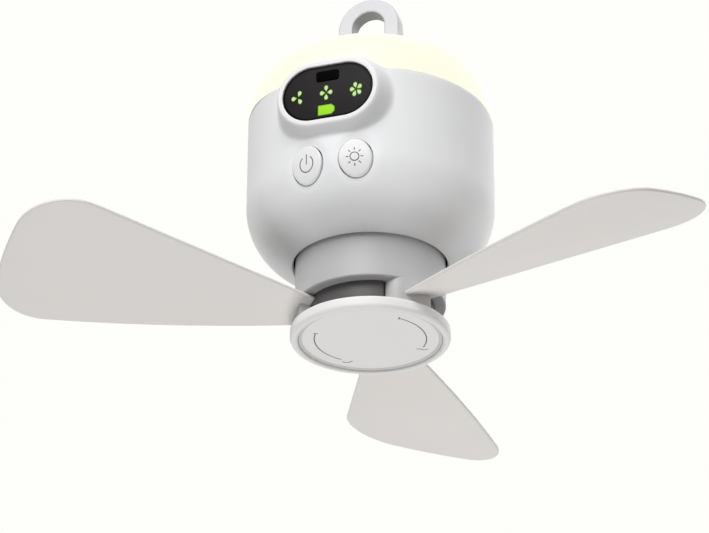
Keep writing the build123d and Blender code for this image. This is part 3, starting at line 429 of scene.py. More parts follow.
# -------------------- finishes


# A plastic's slow flow and its grain: their sizes in millimetres, their shares of the tone,
# and how far they change its roughness.
FLOW, FLOW_SHARE, FLOW_POLISH = 22.0, 0.7, 0.06
GRAIN, GRAIN_SHARE, GRAIN_POLISH = 0.35, 0.3, 0.12
TONE_SPREAD = 0.03
LIT_STRENGTH = 0.58
LAMP_STRENGTH = 0.9
BORDER = (-1.05, -0.9)


def moulded(name, colour, roughness=0.45, depth=0.006, gloss=0.4, marks=None):
    """Satin moulded plastic: spark-eroded grain and a faint flow of tone.

    marks(paint, tone) may add marks of its own to the tone.
    """
    paint = Paint(name)
    flow = paint.noise(FLOW, seed=3.0)
    grain = paint.noise(GRAIN, seed=7.0, detail=3.0)
    tone = paint.vary(flow * FLOW_SHARE + grain * GRAIN_SHARE, colour,
                      1 - TONE_SPREAD, 1 + TONE_SPREAD)
    if marks:
        tone = marks(paint, tone)
    polish = roughness + (grain - 0.5) * GRAIN_POLISH + (flow - 0.5) * FLOW_POLISH
    return paint.finish(base_color=tone, roughness=polish, normal=paint.bump(grain, depth),
                        specular_ior_level=gloss)


def metal(name, colour, roughness):
    """Plated or drawn metal with fine drag lines."""
    paint = Paint(name)
    lines = paint.noise(0.5, seed=11.0, detail=3.0, stretch=(1.0, 1.0, 12.0))
    clouds = paint.noise(6.0, seed=5.0)
    return paint.finish(base_color=paint.vary(clouds, colour, 0.88, 1.1), metallic=1.0,
                        roughness=roughness + (lines - 0.5) * 0.2,
                        normal=paint.bump(lines, 0.004))


def lit(name, colour):
    """A lit icon: an even glow that shows in daylight."""
    paint = Paint(name)
    cells = paint.noise(0.4, seed=2.0)
    return paint.finish(base_color=shade(colour, 0.25), roughness=0.4 + cells * 0.1,
                        emission_color=paint.vary(cells, colour, 0.94, 1.06),
                        emission_strength=LIT_STRENGTH, specular_ior_level=0.06)


def dark_pane(colour, window):
    """A smoked pane with a black printed border."""
    paint = Paint("smoked pane")
    x, _, z = paint.place()
    outside, _ = off_window(window, x, z)
    haze = paint.noise(9.0, seed=4.0)
    tone = paint.mark(paint.vary(haze, colour, 0.85, 1.15), "printed border",
                      outside.step(*BORDER))
    return paint.finish(base_color=tone, roughness=0.34 + haze * 0.06, specular_ior_level=0.05)


def lamp_glow(colour):
    """Frosted diffuser, evenly lit from inside."""
    paint = Paint("lit diffuser")
    frost = paint.noise(0.5, seed=9.0, detail=3.0)
    clouds = paint.noise(30.0, seed=1.0)
    return paint.finish(base_color=shade(colour, 0.1), roughness=0.5 + frost * 0.1,
                        emission_color=paint.vary(clouds, colour, 0.97, 1.0),
                        emission_strength=LAMP_STRENGTH, normal=paint.bump(frost, 0.005))


# -------------------- drawing


# The angles at which a rounded edge has its points, and how many steps other arcs have.
EDGE_STEPS = (0, 30, 60, 90)
CORNER_STEPS = 8
PETAL_STEPS = 20
SYMBOL_STEPS = 40
INK_DEPTH = 0.1
SAME_POINT = 1e-4
SHARP_FROM = radians(42.0)


def eased(value):
    """0 up to 0, 1 from 1 on, and smooth between."""
    value = min(1.0, max(0.0, value))
    return value * value * (3 - 2 * value)


def arc(x, y, radius, start, end, steps):
    """Points of an arc, both ends included, with its angles in degrees."""
    turns = [radians(start + (end - start) * k / steps) for k in range(steps + 1)]
    return [(x + radius * cos(turn), y + radius * sin(turn)) for turn in turns]


def rounding(radius):
    """Steps round an edge: how far each lies back from the side and in from the face."""
    return [(radius * (1 - sin(radians(turn))), radius * (1 - cos(radians(turn))))
            for turn in EDGE_STEPS]


def skin(*lofts):
    """Closed skins, each through rings that match point for point, flat at its ends."""
    bm = bmesh.new()
    for rings in lofts:
        rows = [[bm.verts.new(point) for point in ring] for ring in rings]
        for low, high in zip(rows, rows[1:]):
            for k in range(len(low)):
                bm.faces.new((low[k - 1], low[k], high[k], high[k - 1]))
        bm.faces.new(rows[0][::-1])
        bm.faces.new(rows[-1])
    return bm


def inset(outline, depth):
    """A closed outline, counter-clockwise, moved inwards."""
    points = [Vector(point) for point in outline]
    moved = []
    for before, here, after in zip(points[-1:] + points, points, points[1:] + points[:1]):
        side = (here - before).normalized().orthogonal()
        normal = (side + (after - here).normalized().orthogonal()).normalized()
        moved.append(here + normal * (depth / max(0.5, normal.dot(side))))
    return moved


def slab(outline, low, high, edge, lift):
    """A plate with rounded edges. lift(x, y, height) puts its points in space."""
    levels = [(back, low + down) for back, down in rounding(edge)]
    levels += [(back, low + high - level) for back, level in reversed(levels)]
    return skin([[lift(x, y, level) for x, y in inset(outline, back)] for back, level in levels])


def ribbon(path, width, lift):
    """Rings of a thin painted line along a path. Its face is at height 0 of lift."""
    points = [Vector(point) for point in path]
    rings = []
    for before, here, after in zip(points[:1] + points, points, points[1:] + points[-1:]):
        across = (after - before).normalized().orthogonal() * width / 2
        left, right = here + across, here - across
        rings.append([lift(*left, -INK_DEPTH), lift(*right, -INK_DEPTH),
                      lift(*right, 0), lift(*left, 0)])
    return rings


def upright(x, y, height):
    """A plan point at a height."""
    return Vector((x, y, height))


def facing(x, z, out):
    """A front-view point, so far in front of the axis."""
    return Vector((x, -out, z))


def to_mesh(bm, name, put):
    """A drawn shape as a mesh in metres. put(point) gives each point's place."""
    bmesh.ops.remove_doubles(bm, verts=bm.verts, dist=SAME_POINT)
    bmesh.ops.recalc_face_normals(bm, faces=bm.faces)
    for vertex in bm.verts:
        vertex.co = put(vertex.co)
    mesh = bpy.data.meshes.new(name)
    bm.to_mesh(mesh)
    bm.free()
    return mesh


def place_piece(mesh, name, body, slot, *replaced):
    """Puts a mesh in the scene, smooth but for its real edges, under its body, and hides the nodes
    it replaces.
    """
    mesh.shade_smooth()
    mesh.set_sharp_from_angle(angle=SHARP_FROM)
    piece = bpy.data.objects.new(name, mesh)
    bpy.context.scene.collection.objects.link(piece)
    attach(piece, body)
    if replaced:
        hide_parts(*replaced)


def make_piece(bm, name, paint, body, slot, *replaced):
    """Makes a drawn shape a piece with one finish."""
    mesh = to_mesh(bm, name, in_frame)
    mesh.materials.append(paint)
    place_piece(mesh, name, body, slot, *replaced)


# -------------------- geometry nodes


RING_INPUTS = {"Shape": "Geometry", "Count": "Int", "Start": "Float", "Axis": "Vector",
               "Centre": "Vector", "Stretch": "Vector", "Finish": "Material"}


def ring_tree():
    """Copies of a shape turned about an axis, each of the same finish."""
    tree = bpy.data.node_groups.new("copies round an axis", "GeometryNodeTree")
    names = {}
    for name, kind in RING_INPUTS.items():
        socket = tree.interface.new_socket(name, in_out="INPUT", socket_type="NodeSocket" + kind)
        names[name] = socket.identifier
    tree.interface.new_socket("Copies", in_out="OUTPUT", socket_type="NodeSocketGeometry")
    node = Wiring(tree).node
    given = {name: node("NodeGroupInput", output=name) for name in RING_INPUTS}
    points = node("GeometryNodePoints", None, {"Count": given["Count"]})
    share = node("ShaderNodeMath", {"operation": "DIVIDE"},
                 (node("GeometryNodeInputIndex"), given["Count"]))
    aim = node("FunctionNodeAxisAngleToRotation", None,
               {"Axis": given["Axis"], "Angle": share * (2 * pi) + given["Start"]})
    copies = node("GeometryNodeInstanceOnPoints", None,
                  {"Points": points, "Instance": given["Shape"], "Rotation": aim})
    real = node("GeometryNodeRealizeInstances", None, {"Geometry": copies})
    moved = node("GeometryNodeTransform", None,
                 {"Geometry": real, "Translation": given["Centre"], "Scale": given["Stretch"]})
    done = node("GeometryNodeSetMaterial", None,
                {"Geometry": moved, "Material": given["Finish"]})
    node("NodeGroupOutput", None, {"Copies": done})
    return tree, names


def copied_round(bm, name, paint, copies, start, axis, centre, stretch=(1, 1, 1)):
    """A plain mesh of several copies of a shape that is drawn about the spin axis."""
    tree, names = ring_tree()
    seed = to_mesh(bm, name, lambda point: point * MM)
    holder = bpy.data.objects.new(name + "_seed", seed)
    bpy.context.scene.collection.objects.link(holder)
    pattern = holder.modifiers.new("copies", "NODES")
    pattern.node_group = tree
    values = {"Count": copies, "Start": start, "Axis": axis, "Centre": in_frame(centre),
              "Stretch": stretch, "Finish": paint}
    for key, value in values.items():
        pattern[names[key]] = value
    evaluated = holder.evaluated_get(bpy.context.evaluated_depsgraph_get())
    mesh = bpy.data.meshes.new_from_object(evaluated)
    mesh.name = name
    holder.modifiers.remove(pattern)
    bpy.data.objects.remove(holder)
    bpy.data.meshes.remove(seed)
    return mesh


# -------------------- shell


OUTLINE_STEPS = 64
STRAIGHT_STEPS = 16
LONG_SIDE = 1.0
MOUND_RINGS = (0.0, 0.3, 0.6, 0.9, 1.3, 1.8, 2.3, 2.9, 3.5, 4.1, 4.8, 5.5, 6.3, 7.1)
KEY_RINGS = (0.0, 0.3, 0.7, 1.2, 1.8, 2.5)
USB_RINGS = (0.0, 0.4, 0.9)
USB_GAP = 0.35


class Opening:
    """A rounded cut-out, two half ovals joined by straight sides, and its rings of points."""

    def __init__(self, x, z, straight, across, up, rings, back=False):
        self.x, self.z, self.straight = x, z, straight
        self.across, self.up, self.rings, self.back = across, up, rings, back

    def distance(self, x, z):
        """How far a front-view point lies outside the outline."""
        wide = max(abs(x - self.x) - self.straight, 0) / self.across
        tall = (z - self.z) / self.up
        far = hypot(wide, tall)
        if far < 1e-6:
            return -min(self.across, self.up)
        return (far - 1) * far / hypot(wide / self.across, tall / self.up)

    def outline(self, margin):
        """The outline's points, counter-clockwise, moved outwards by a margin."""
        points = []
        for k in range(OUTLINE_STEPS):
            turn = 2 * pi * (k + 0.5) / OUTLINE_STEPS
            normal = Vector((cos(turn) / self.across, sin(turn) / self.up)).normalized()
            side = self.straight if cos(turn) > 0 else -self.straight
            points.append((self.x + side + self.across * cos(turn) + normal.x * margin,
                           self.z + self.up * sin(turn) + normal.y * margin))
        return points if not self.straight else with_straights(points)


def with_straights(points):
    """Divides an outline's two long sides."""
    result = []
    for (x, z), (next_x, next_z) in zip(points, points[1:] + points[:1]):
        wide, tall = next_x - x, next_z - z
        steps = STRAIGHT_STEPS if abs(wide) > 3 * abs(tall) + LONG_SIDE else 1
        result += [(x + wide * k / steps, z + tall * k / steps) for k in range(steps)]
    return result


# The rim's lift beside the frame: its middle's bearing and its reach each way, in degrees.
FLANK_AT = -56.0
FLANK_REACH = 32.0
# The least cosine of a bearing at which the frame and the dishes shape the shell.
FRONT_COSINE = 0.5
THINNEST = 0.3
# How near the lower lip and the frame an edge is still rounded as theirs is.
LIP_BAND = 0.5
FRAME_BAND = 2.0


class Barrel:
    """The shell's outer surface: a round barrel with a soft mound round its display."""

    def __init__(self):
        self.shell = s = chosen("fan_shell")
        self.buttons = b = chosen("fan_buttons")
        d = chosen("fan_display")
        inner = s.radius - s.corner
        self.tangent = s.lip + sqrt(s.corner**2 - (s.hole - inner) ** 2)
        self.low = -s.corner * asin((self.tangent - s.lip) / s.corner)
        self.high = s.rim - s.rim_edge - self.tangent
        end = d.height / 2
        self.window = Opening(0, d.up, d.width / 2 - end, end, end, MOUND_RINGS)
        wide, tall = b.width / 2 + b.gap, b.height / 2 + b.gap
        self.keys = [Opening(x, b.up, 0, wide, tall, KEY_RINGS)
                     for x in (-b.pitch / 2, b.pitch / 2)]
        low, high = box_of("usb_socket")
        tall = (high.z - low.z) / 2 + USB_GAP
        usb = Opening(0, (low.z + high.z) / 2, USB_GAP - low.x - tall, tall, tall, USB_RINGS,
                      back=True)
        self.cuts = [self.window, *self.keys, usb]

    def profile(self, along):
        """Radius, height and downward lean at a length along the profile from the tangent."""
        s = self.shell
        if along >= 0:
            return s.radius, self.tangent + along, 0.0
        lean = -along / s.corner
        return s.radius - s.corner * (1 - cos(lean)), self.tangent - s.corner * sin(lean), lean

    def unroll(self, x, z, back=False):
        """Where a front-view point lies on the unrolled surface."""
        s = self.shell
        along = z - self.tangent
        if along < 0:
            along = -s.corner * asin(-along / s.corner)
        bearing = asin(x / self.profile(along)[0])
        return (pi - bearing if back else bearing) * s.radius, along

    def lift(self, x, z, out):
        """A front-view point, so far out of the plain barrel."""
        radius = self.profile(self.unroll(0, z)[1])[0]
        return facing(x, z, sqrt(radius**2 - x**2) + out)

    def nearby(self, around, along):
        """The cut-outs on a point's side of the shell, and how far outside each it lies."""
        bearing = around / self.shell.radius
        radius, height, _ = self.profile(along)
        return [(cut, cut.distance(radius * sin(bearing), height)) for cut in self.cuts
                if cut.back == (cos(bearing) < 0)]

    def top(self, around):
        """The upper edge's place on the unrolled surface, up over the display."""
        s = self.shell
        bearing = around / s.radius
        reach = self.window.up + s.tab
        beyond = max(abs(s.radius * sin(bearing)) - self.window.straight, 0)
        flank = s.flank * (1 - eased(abs(degrees(bearing) - FLANK_AT) / FLANK_REACH))
        if cos(bearing) < 0 or beyond >= reach:
            return self.high + flank
        tab = self.window.z + sqrt(reach**2 - beyond**2) - s.rim_edge - self.tangent
        near = max(s.tab_blend - abs(tab - self.high), 0) / s.tab_blend
        return max(tab, self.high) + near * near * s.tab_blend / 4 + flank

    def at(self, around, along):
        """A point on the surface, the way into the wall, and the wall's thickness."""
        s, b = self.shell, self.buttons
        bearing = around / s.radius
        radius, height, lean = self.profile(along)
        inwards = Vector((-sin(bearing) * cos(lean), cos(bearing) * cos(lean), sin(lean)))
        point = Vector((radius * sin(bearing), -radius * cos(bearing), height))
        wall = s.wall
        if cos(bearing) > FRONT_COSINE:
            straight = 0.0
            for key in self.keys:
                near = 1 - eased(key.distance(point.x, point.z) / b.dish_width)
                point += inwards * b.dish * near
                straight = max(straight, near)
            outside = self.window.distance(point.x, point.z)
            mound = 1 - eased((outside - s.frame_rim) / s.frame_slope)
            point.y += mound * (-s.face - point.y)
            straight = max(straight, mound)
            inwards = (inwards * (1 - straight) + Vector((0, 1, 0)) * straight).normalized()
        if height > s.rim - s.rim_edge:
            wall = max(THINNEST, min(wall, hypot(point.x, point.y) - s.tab_back))
        return point, inwards, wall

    def edge(self, point):
        """The rounding of the edge that a boundary point belongs to."""
        s = self.shell
        if point.z < s.lip + LIP_BAND:
            return s.lip_edge
        off_frame = self.window.distance(point.x, point.z) > FRAME_BAND
        return s.rim_edge if point.z > s.rim - 2 * s.rim_edge and off_frame else s.hole_edge


# Bearings of the unrolled sheet's two sides, how near its sides' points are joined, and how
# far from the middle its fine points go.
SEAM = (-120.0, 240.0)
SEAM_REACH = 1e-3
FRONT_HALF = 27.0
# How far rings keep off the top and other cut-outs' rings, as a share of their width, and how
# far the grid's points keep off rings and borders.
RING_SHARE = 0.55
RING_TO_TOP = 0.3
GRID_TO_RING = 0.45
GRID_TO_LOW = 0.3
GRID_TO_EDGE = 0.4
# The most of the wall's thickness that the rounding of an edge takes.
MOST_ROUND = 0.45


def shell_points(barrel):
    """Points and fixed edges of the unrolled shell."""
    s, low, high = barrel.shell, barrel.low, barrel.high
    points, edges = [], []

    def add_loop(loop):
        first = len(points)
        points.extend(loop)
        last = len(points) - 1
        edges.extend((k, k + 1) for k in range(first, last))
        edges.append((last, first))

    left, right = (radians(side) * s.radius for side in SEAM)
    columns = round((right - left) / s.coarse) * 2
    arounds = [left + (right - left) * k / columns for k in range(columns + 1)]
    rows = round((high - low) / s.coarse)
    sides = [low + (high - low) * k / rows for k in range(1, rows)]
    border = [(around, low) for around in arounds]
    border += [(right, along) for along in sides]
    border += [(around, barrel.top(around)) for around in reversed(arounds)]
    border += [(left, along) for along in reversed(sides)]
    add_loop(border)
    for cut in barrel.cuts:
        others = [other for other in barrel.cuts if other is not cut and other.back == cut.back]
        for margin in cut.rings:
            kept = []
            for x, z in cut.outline(margin + s.hole_edge):
                around, along = barrel.unroll(x, z, cut.back)
                free = all(other.distance(x, z) > other.rings[-1] * RING_SHARE
                           for other in others)
                if not margin or (free and along < barrel.top(around) - RING_TO_TOP):
                    kept.append((around, along))
            if margin:
                points.extend(kept)
            else:
                add_loop(kept)

    def clear(around, along):
        """Whether a grid point keeps off the rings and the border."""
        return (low + GRID_TO_LOW < along < barrel.top(around) - GRID_TO_EDGE
                and left + GRID_TO_EDGE < around < right - GRID_TO_EDGE
                and all(outside > cut.rings[-1] + GRID_TO_RING
                        for cut, outside in barrel.nearby(around, along)))

    for spacing, in_front in ((s.fine, True), (s.coarse, False)):
        for column in range(int((right - left) / spacing)):
            around = left + (column + 0.5) * spacing
            if (abs(around) < FRONT_HALF) != in_front:
                continue
            alongs = [low + (row + 0.5) * spacing
                      for row in range(int((barrel.top(0) - low) / spacing))]
            points.extend((around, along) for along in alongs if clear(around, along))
    return points, edges


def shell_sheet(bm, barrel):
    """The shell's outer surface, with each point's way in and wall thickness."""
    points, edges = shell_points(barrel)
    flat = [Vector(point) for point in points]
    found, _, faces, *_ = delaunay_2d_cdt(flat, edges, [], 0, SAME_POINT)
    placed = [barrel.at(*point) for point in found]
    sheet = [bm.verts.new(point) for point, _, _ in placed]
    for face in faces:
        around, along = (sum(found[k][axis] for k in face) / 3 for axis in range(2))
        nearby = barrel.nearby(around, along)
        kept = all(outside >= barrel.shell.hole_edge for _, outside in nearby)
        if kept and along < barrel.top(around):
            bm.faces.new([sheet[k] for k in face])
    ways = {}
    for vertex, (_, way, wall) in zip(sheet, placed):
        if vertex.link_faces:
            ways[vertex] = way, wall
        else:
            bm.verts.remove(vertex)
    return ways


def close_seam(bm, ways):
    """Joins the sheet's two sides behind."""
    pairs = bmesh.ops.find_doubles(bm, verts=list(ways), dist=SEAM_REACH)["targetmap"]
    for gone in pairs:
        del ways[gone]
    bmesh.ops.weld_verts(bm, targetmap=pairs)


def thicken(bm, ways, edge_of):
    """Gives a sheet its wall and rounds the wall's edges."""
    bm.normal_update()
    outer = list(bm.faces)
    loops = [edge.link_loops[0] for edge in bm.edges if edge.is_boundary]
    rims = [(loop.vert, loop.link_loop_next.vert, loop.face.normal.copy()) for loop in loops]
    outwards = {}
    for start, end, normal in rims:
        way = (end.co - start.co).cross(normal).normalized()
        for vertex in (start, end):
            outwards[vertex] = outwards.get(vertex, Vector((0, 0, 0))) + way
    inner = {vertex: bm.verts.new(vertex.co + way * wall) for vertex, (way, wall) in ways.items()}
    chains = {}
    for vertex, way_out in outwards.items():
        way, wall = ways[vertex]
        across = (way_out - way * way_out.dot(way)).normalized()
        radius = min(edge_of(vertex.co), MOST_ROUND * wall)
        steps = [(radius - back, down) for back, down in rounding(radius)[1:]]
        steps += [(out, wall - down) for out, down in reversed(steps)]
        round_edge = [bm.verts.new(vertex.co + across * out + way * down) for out, down in steps]
        chains[vertex] = [vertex, *round_edge, inner[vertex]]
    for face in outer:
        bm.faces.new([inner[vertex] for vertex in reversed(face.verts)])
    for first, second, _ in rims:
        start, end = chains[first], chains[second]
        for k in range(len(start) - 1):
            bm.faces.new((end[k], start[k], start[k + 1], end[k + 1]))


class FAN_OT_shell(bpy.types.Operator):
    """Makes the shell with its soft frame round the display"""

    bl_idname = "fan.shell"
    bl_label = "Shell"

    def execute(self, context):
        barrel = Barrel()
        bm = bmesh.new()
        ways = shell_sheet(bm, barrel)
        close_seam(bm, ways)
        thicken(bm, ways, barrel.edge)
        paint = moulded("shell white", chosen("fan_colours").shell, marks=shell_shut_line_and_painted_light(barrel))
        make_piece(bm, "shell", paint, "housing", "white_shell", "body_shell")
        return {"FINISHED"}


# -------------------- display


# Each speed icon's petals, the bearing of its first one, and its middle.
ICONS = {"low": (3, 64, -11.35, 76.6), "middle": (4, 90, -0.6, 76.9),
         "high": (5, 102, 10.7, 76.3)}
ICON_STRETCH = (0.88, 1.0, 1.1)
PETAL_TIP = 0.35
ICON_EDGE = 0.02
ICON_SUNK = 0.1
GLOW_RAISED = 1.6
POINT_MARGIN = 1.6
BATTERY_AT = Vector((-0.5, 69.9))
BATTERY_CUT = 1.2
BATTERY_OUTLINE = 0.28
PANE_EDGE = 0.3
LENS_AT = (-0.1, 83.8)
LENS_CORNER = 1.0
LENS_EDGE = 0.25
LENS_SUNK, LENS_RAISED = 0.3, 0.35


def petal_outline(tip, end, radius):
    """A drop: a round end far out and a point towards the middle."""
    lean = degrees(acos(radius / (end - tip)))
    return [(tip, 0)] + arc(end, 0, radius, -180 + lean, 180 - lean, PETAL_STEPS)


def rounded_box(x, z, width, height, corner):
    """A rectangle with round corners, counter-clockwise."""
    points = []
    for k, (right, up) in enumerate(((1, -1), (1, 1), (-1, 1), (-1, -1))):
        points += arc(x + right * (width / 2 - corner), z + up * (height / 2 - corner), corner,
                      90 * k - 90, 90 * k, CORNER_STEPS)
    return points


class FAN_OT_display(bpy.types.Operator):
    """Makes the display's pane, its lit icons and the receiver's lens"""

    bl_idname = "fan.display"
    bl_label = "Display"

    def execute(self, context):
        d, s, c = chosen("fan_display"), chosen("fan_shell"), chosen("fan_colours")
        face = s.face - d.sink
        window = Barrel().window
        pane = slab(window.outline(-d.gap), face - d.pane, face, PANE_EDGE, facing)
        make_piece(pane, "display_pane", dark_pane(c.pane, window), "housing", "black_gloss",
                   "display_window")
        self.draw_icons(d, face, c)
        self.draw_battery(d, face, c)
        lens = slab(rounded_box(*LENS_AT, d.lens_width, d.lens_height, LENS_CORNER),
                    face - LENS_SUNK, face + LENS_RAISED, LENS_EDGE, facing)
        black = moulded("black lens", BLACK, roughness=0.5, depth=0.001, gloss=0.01)
        make_piece(lens, "receiver_lens", black, "housing", "black_gloss", "ir_window")
        return {"FINISHED"}

    def draw_icons(self, d, face, c):
        """Flowers of pale petals in green outlines, named as their meshes are."""
        layers = (("", 0.0, lit("petal outline", c.outline), 1.0),
                  ("_glow", d.outline, lit("petal glow", c.petal), GLOW_RAISED))
        for name, (petals, start, x, z) in ICONS.items():
            for ending, margin, paint, raised in layers:
                outline = petal_outline(PETAL_TIP + POINT_MARGIN * margin, d.icon - d.petal,
                                        d.petal - margin)
                petal = slab(outline, -ICON_SUNK, raised * d.raised, ICON_EDGE, facing)
                mesh = copied_round(petal, "speed_icon_" + name + ending, paint, petals,
                                    radians(-start), (0, 1, 0), (x, -face, z), ICON_STRETCH)
                replaced = () if ending else ("speed_icon_" + name,)
                place_piece(mesh, mesh.name, "housing", "green_light", *replaced)

    def draw_battery(self, d, face, c):
        """A lit battery with its right-hand corners cut, in a darker outline."""
        wide, tall, cut = d.battery_width / 2, d.battery_height / 2, BATTERY_CUT
        corners = [(-wide, -tall), (wide - cut, -tall), (wide, cut - tall), (wide, tall - cut),
                   (wide - cut, tall), (-wide, tall)]
        for part, shrink, colour, raised, *replaced in (
                ("outline", 0.0, c.outline, 1.0, "battery_icon"),
                ("glow", BATTERY_OUTLINE, c.battery, GLOW_RAISED)):
            outline = [BATTERY_AT + point for point in inset(corners, shrink)]
            battery = slab(outline, face - ICON_SUNK, face + raised * d.raised, ICON_EDGE, facing)
            make_piece(battery, "battery_" + part, lit("battery " + part, colour), "housing",
                       "green_light", *replaced)


# -------------------- push buttons


BUTTON_FACE_RINGS = (0.85, 0.68, 0.5, 0.32, 0.14)
POWER_RING = (2.6, 3.1)
POWER_OPEN = 35
POWER_BAR = (-0.2, 3.8)
BAR_STEPS = 8
SUN_RING = (1.55, 1.6)
SUN_RAYS = 8
SUN_RAY = ((2.1, 2.55), (3.05, 3.6))


def oval_arc(wide, tall, start, end):
    """Points of part of an oval, counter-clockwise from +x, in degrees."""
    return [(wide * x, tall * z) for x, z in arc(0, 0, 1, start, end, SYMBOL_STEPS)]


def power_lines():
    """The standby sign: an open ring and a bar."""
    low, high = POWER_BAR
    bar = [(0, low + (high - low) * k / BAR_STEPS) for k in range(BAR_STEPS + 1)]
    return [oval_arc(*POWER_RING, 90 + POWER_OPEN, 450 - POWER_OPEN), bar]


def sun_lines():
    """A small sun: a ring in two halves, and its rays."""
    turns = [2 * pi * k / SUN_RAYS for k in range(SUN_RAYS)]
    rays = [[(wide * cos(turn), tall * sin(turn)) for wide, tall in SUN_RAY] for turn in turns]
    return [oval_arc(*SUN_RING, 0, 180), oval_arc(*SUN_RING, 180, 360), *rays]


def button_skin(barrel, key):
    """A push button: an oval of the barrel's own curve with a rounded rim."""
    b = barrel.buttons
    rings = [(key.outline(-b.gap), b.proud - b.depth)]
    rings += [(key.outline(-b.gap - down), b.proud - back) for back, down in rounding(b.edge)]
    edge = key.outline(-b.gap - b.edge)
    for share in BUTTON_FACE_RINGS:
        ring = [(key.x + (x - key.x) * share, key.z + (z - key.z) * share) for x, z in edge]
        rings.append((ring, b.proud))
    return skin([[barrel.lift(x, z, out) for x, z in ring] for ring, out in rings])


class FAN_OT_buttons(bpy.types.Operator):
    """Makes the two push buttons and their printed symbols"""

    bl_idname = "fan.buttons"
    bl_label = "Push buttons"

    def execute(self, context):
        barrel = Barrel()
        b, c = barrel.buttons, chosen("fan_colours")
        white = moulded("button white", c.button, roughness=0.38)
        ink = moulded("printed grey", c.print, roughness=0.6, depth=0.002)
        for name, key, lines in zip(("power", "light"), barrel.keys, (power_lines(), sun_lines())):
            def lift(x, z, out):
                return barrel.lift(key.x + x, key.z + z, b.proud + b.ink + out)

            body = name + "_key"
            make_piece(button_skin(barrel, key), name + "_button_cap", white, body,
                       "white_button", name + "_button")
            symbol = skin(*(ribbon(line, b.line, lift) for line in lines))
            make_piece(symbol, name + "_print", ink, body, "grey_print", name + "_symbol")
        return {"FINISHED"}


# -------------------- rotor


SWEEP_STEPS, TIP_STEPS, LEAD_STEPS, TRAIL_STEPS = 40, 16, 12, 30
NECK_STEPS, INNER_STEPS = 32, 16
PLATE_START = 19.0
LEAD = (18.1, 2.2)
TRAIL_TIP = 13.0
TRAIL_START = 8.6
TRAIL_MIDDLE = Vector((66.6, -20.5))
# The roots and the recess walls are slices of a ring: how far in they reach, their bearings
# from their blade, and the rounding of their two outer corners.
ROOT_INNER = 12.3
ROOT = (-35, 4, (0.8, 4.6))
RECESS = (1, 83.6, (0.6, 0.6))
ROOT_EDGE, RECESS_EDGE = 0.3, 0.2
RECESS_STEP = 4
ROOT_TO_CAP = 0.2
ROOT_TO_BELL = 2.5
ROOT_OVER_RECESS = 0.7


def polar(radius, turn):
    """A plan point at a radius and a bearing in degrees."""
    return Vector((radius * cos(radians(turn)), radius * sin(radians(turn))))


def bearing_of(point, centre=Vector((0, 0))):
    """A plan point's bearing from a centre, in degrees."""
    return degrees(atan2(point.y - centre.y, point.x - centre.x))


def circle_through(a, b, c):
    """Centre and radius of the circle through three points."""
    b, c = b - a, c - a
    out = b.orthogonal() * c.length_squared - c.orthogonal() * b.length_squared
    out /= 2 * b.cross(c)
    return a + out, out.length


def blade_outline(sweep, tip):
    """A paddle's outline, counter-clockwise, with x along its mid-line."""
    tilt, back = LEAD
    along = polar(1, tilt)
    base = Vector((0, -back)) - along.orthogonal() * tip
    reach = sqrt(base.dot(along) ** 2 - base.length_squared + (sweep - tip) ** 2)
    lead = base + along * (reach - base.dot(along))
    root, end = Vector((PLATE_START, -TRAIL_START)), polar(sweep, -TRAIL_TIP)
    middle, radius = circle_through(root, TRAIL_MIDDLE, end)
    far, near = middle.length, radius - tip if middle.y > TRAIL_MIDDLE.y else radius + tip
    share = ((sweep - tip) ** 2 - near**2 + far**2) / (2 * far)
    way = middle / far
    side = way.orthogonal() * sqrt((sweep - tip) ** 2 - share**2)
    trail = min(way * share + side, way * share - side, key=lambda point: (point - end).length)
    touch = middle + (trail - middle).normalized() * radius
    outline = arc(0, 0, sweep, bearing_of(trail), bearing_of(lead), SWEEP_STEPS)[1:-1]
    outline += arc(*lead, tip, bearing_of(lead), 90 + tilt, TIP_STEPS)
    start = Vector((PLATE_START, PLATE_START * tan(radians(tilt)) - back))
    last = Vector(outline[-1])
    outline += [last.lerp(start, k / LEAD_STEPS) for k in range(1, LEAD_STEPS + 1)]
    first, final = bearing_of(root, middle), bearing_of(touch, middle)
    final += 360 * round((first - final) / 360)
    outline += arc(*middle, radius, first, final, TRAIL_STEPS)
    outline += arc(*trail, tip, bearing_of(touch, trail), bearing_of(trail), TIP_STEPS)[1:]
    return outline


def sector(outer, inner, start, end, roundings):
    """A slice of a ring in plan, with its two outer corners rounded."""
    last, first = roundings
    early, late = (degrees(asin(size / (outer - size))) for size in (first, last))
    points = arc(0, 0, outer, start + early, end - late, NECK_STEPS)[:-1]
    points += arc(*polar(outer - last, end - late), last, end - late, end + 90, CORNER_STEPS)
    points += arc(0, 0, inner, end, start, INNER_STEPS)
    points += arc(*polar(outer - first, start + early), first, start - 90, start + early,
                  CORNER_STEPS)[:-1]
    return points


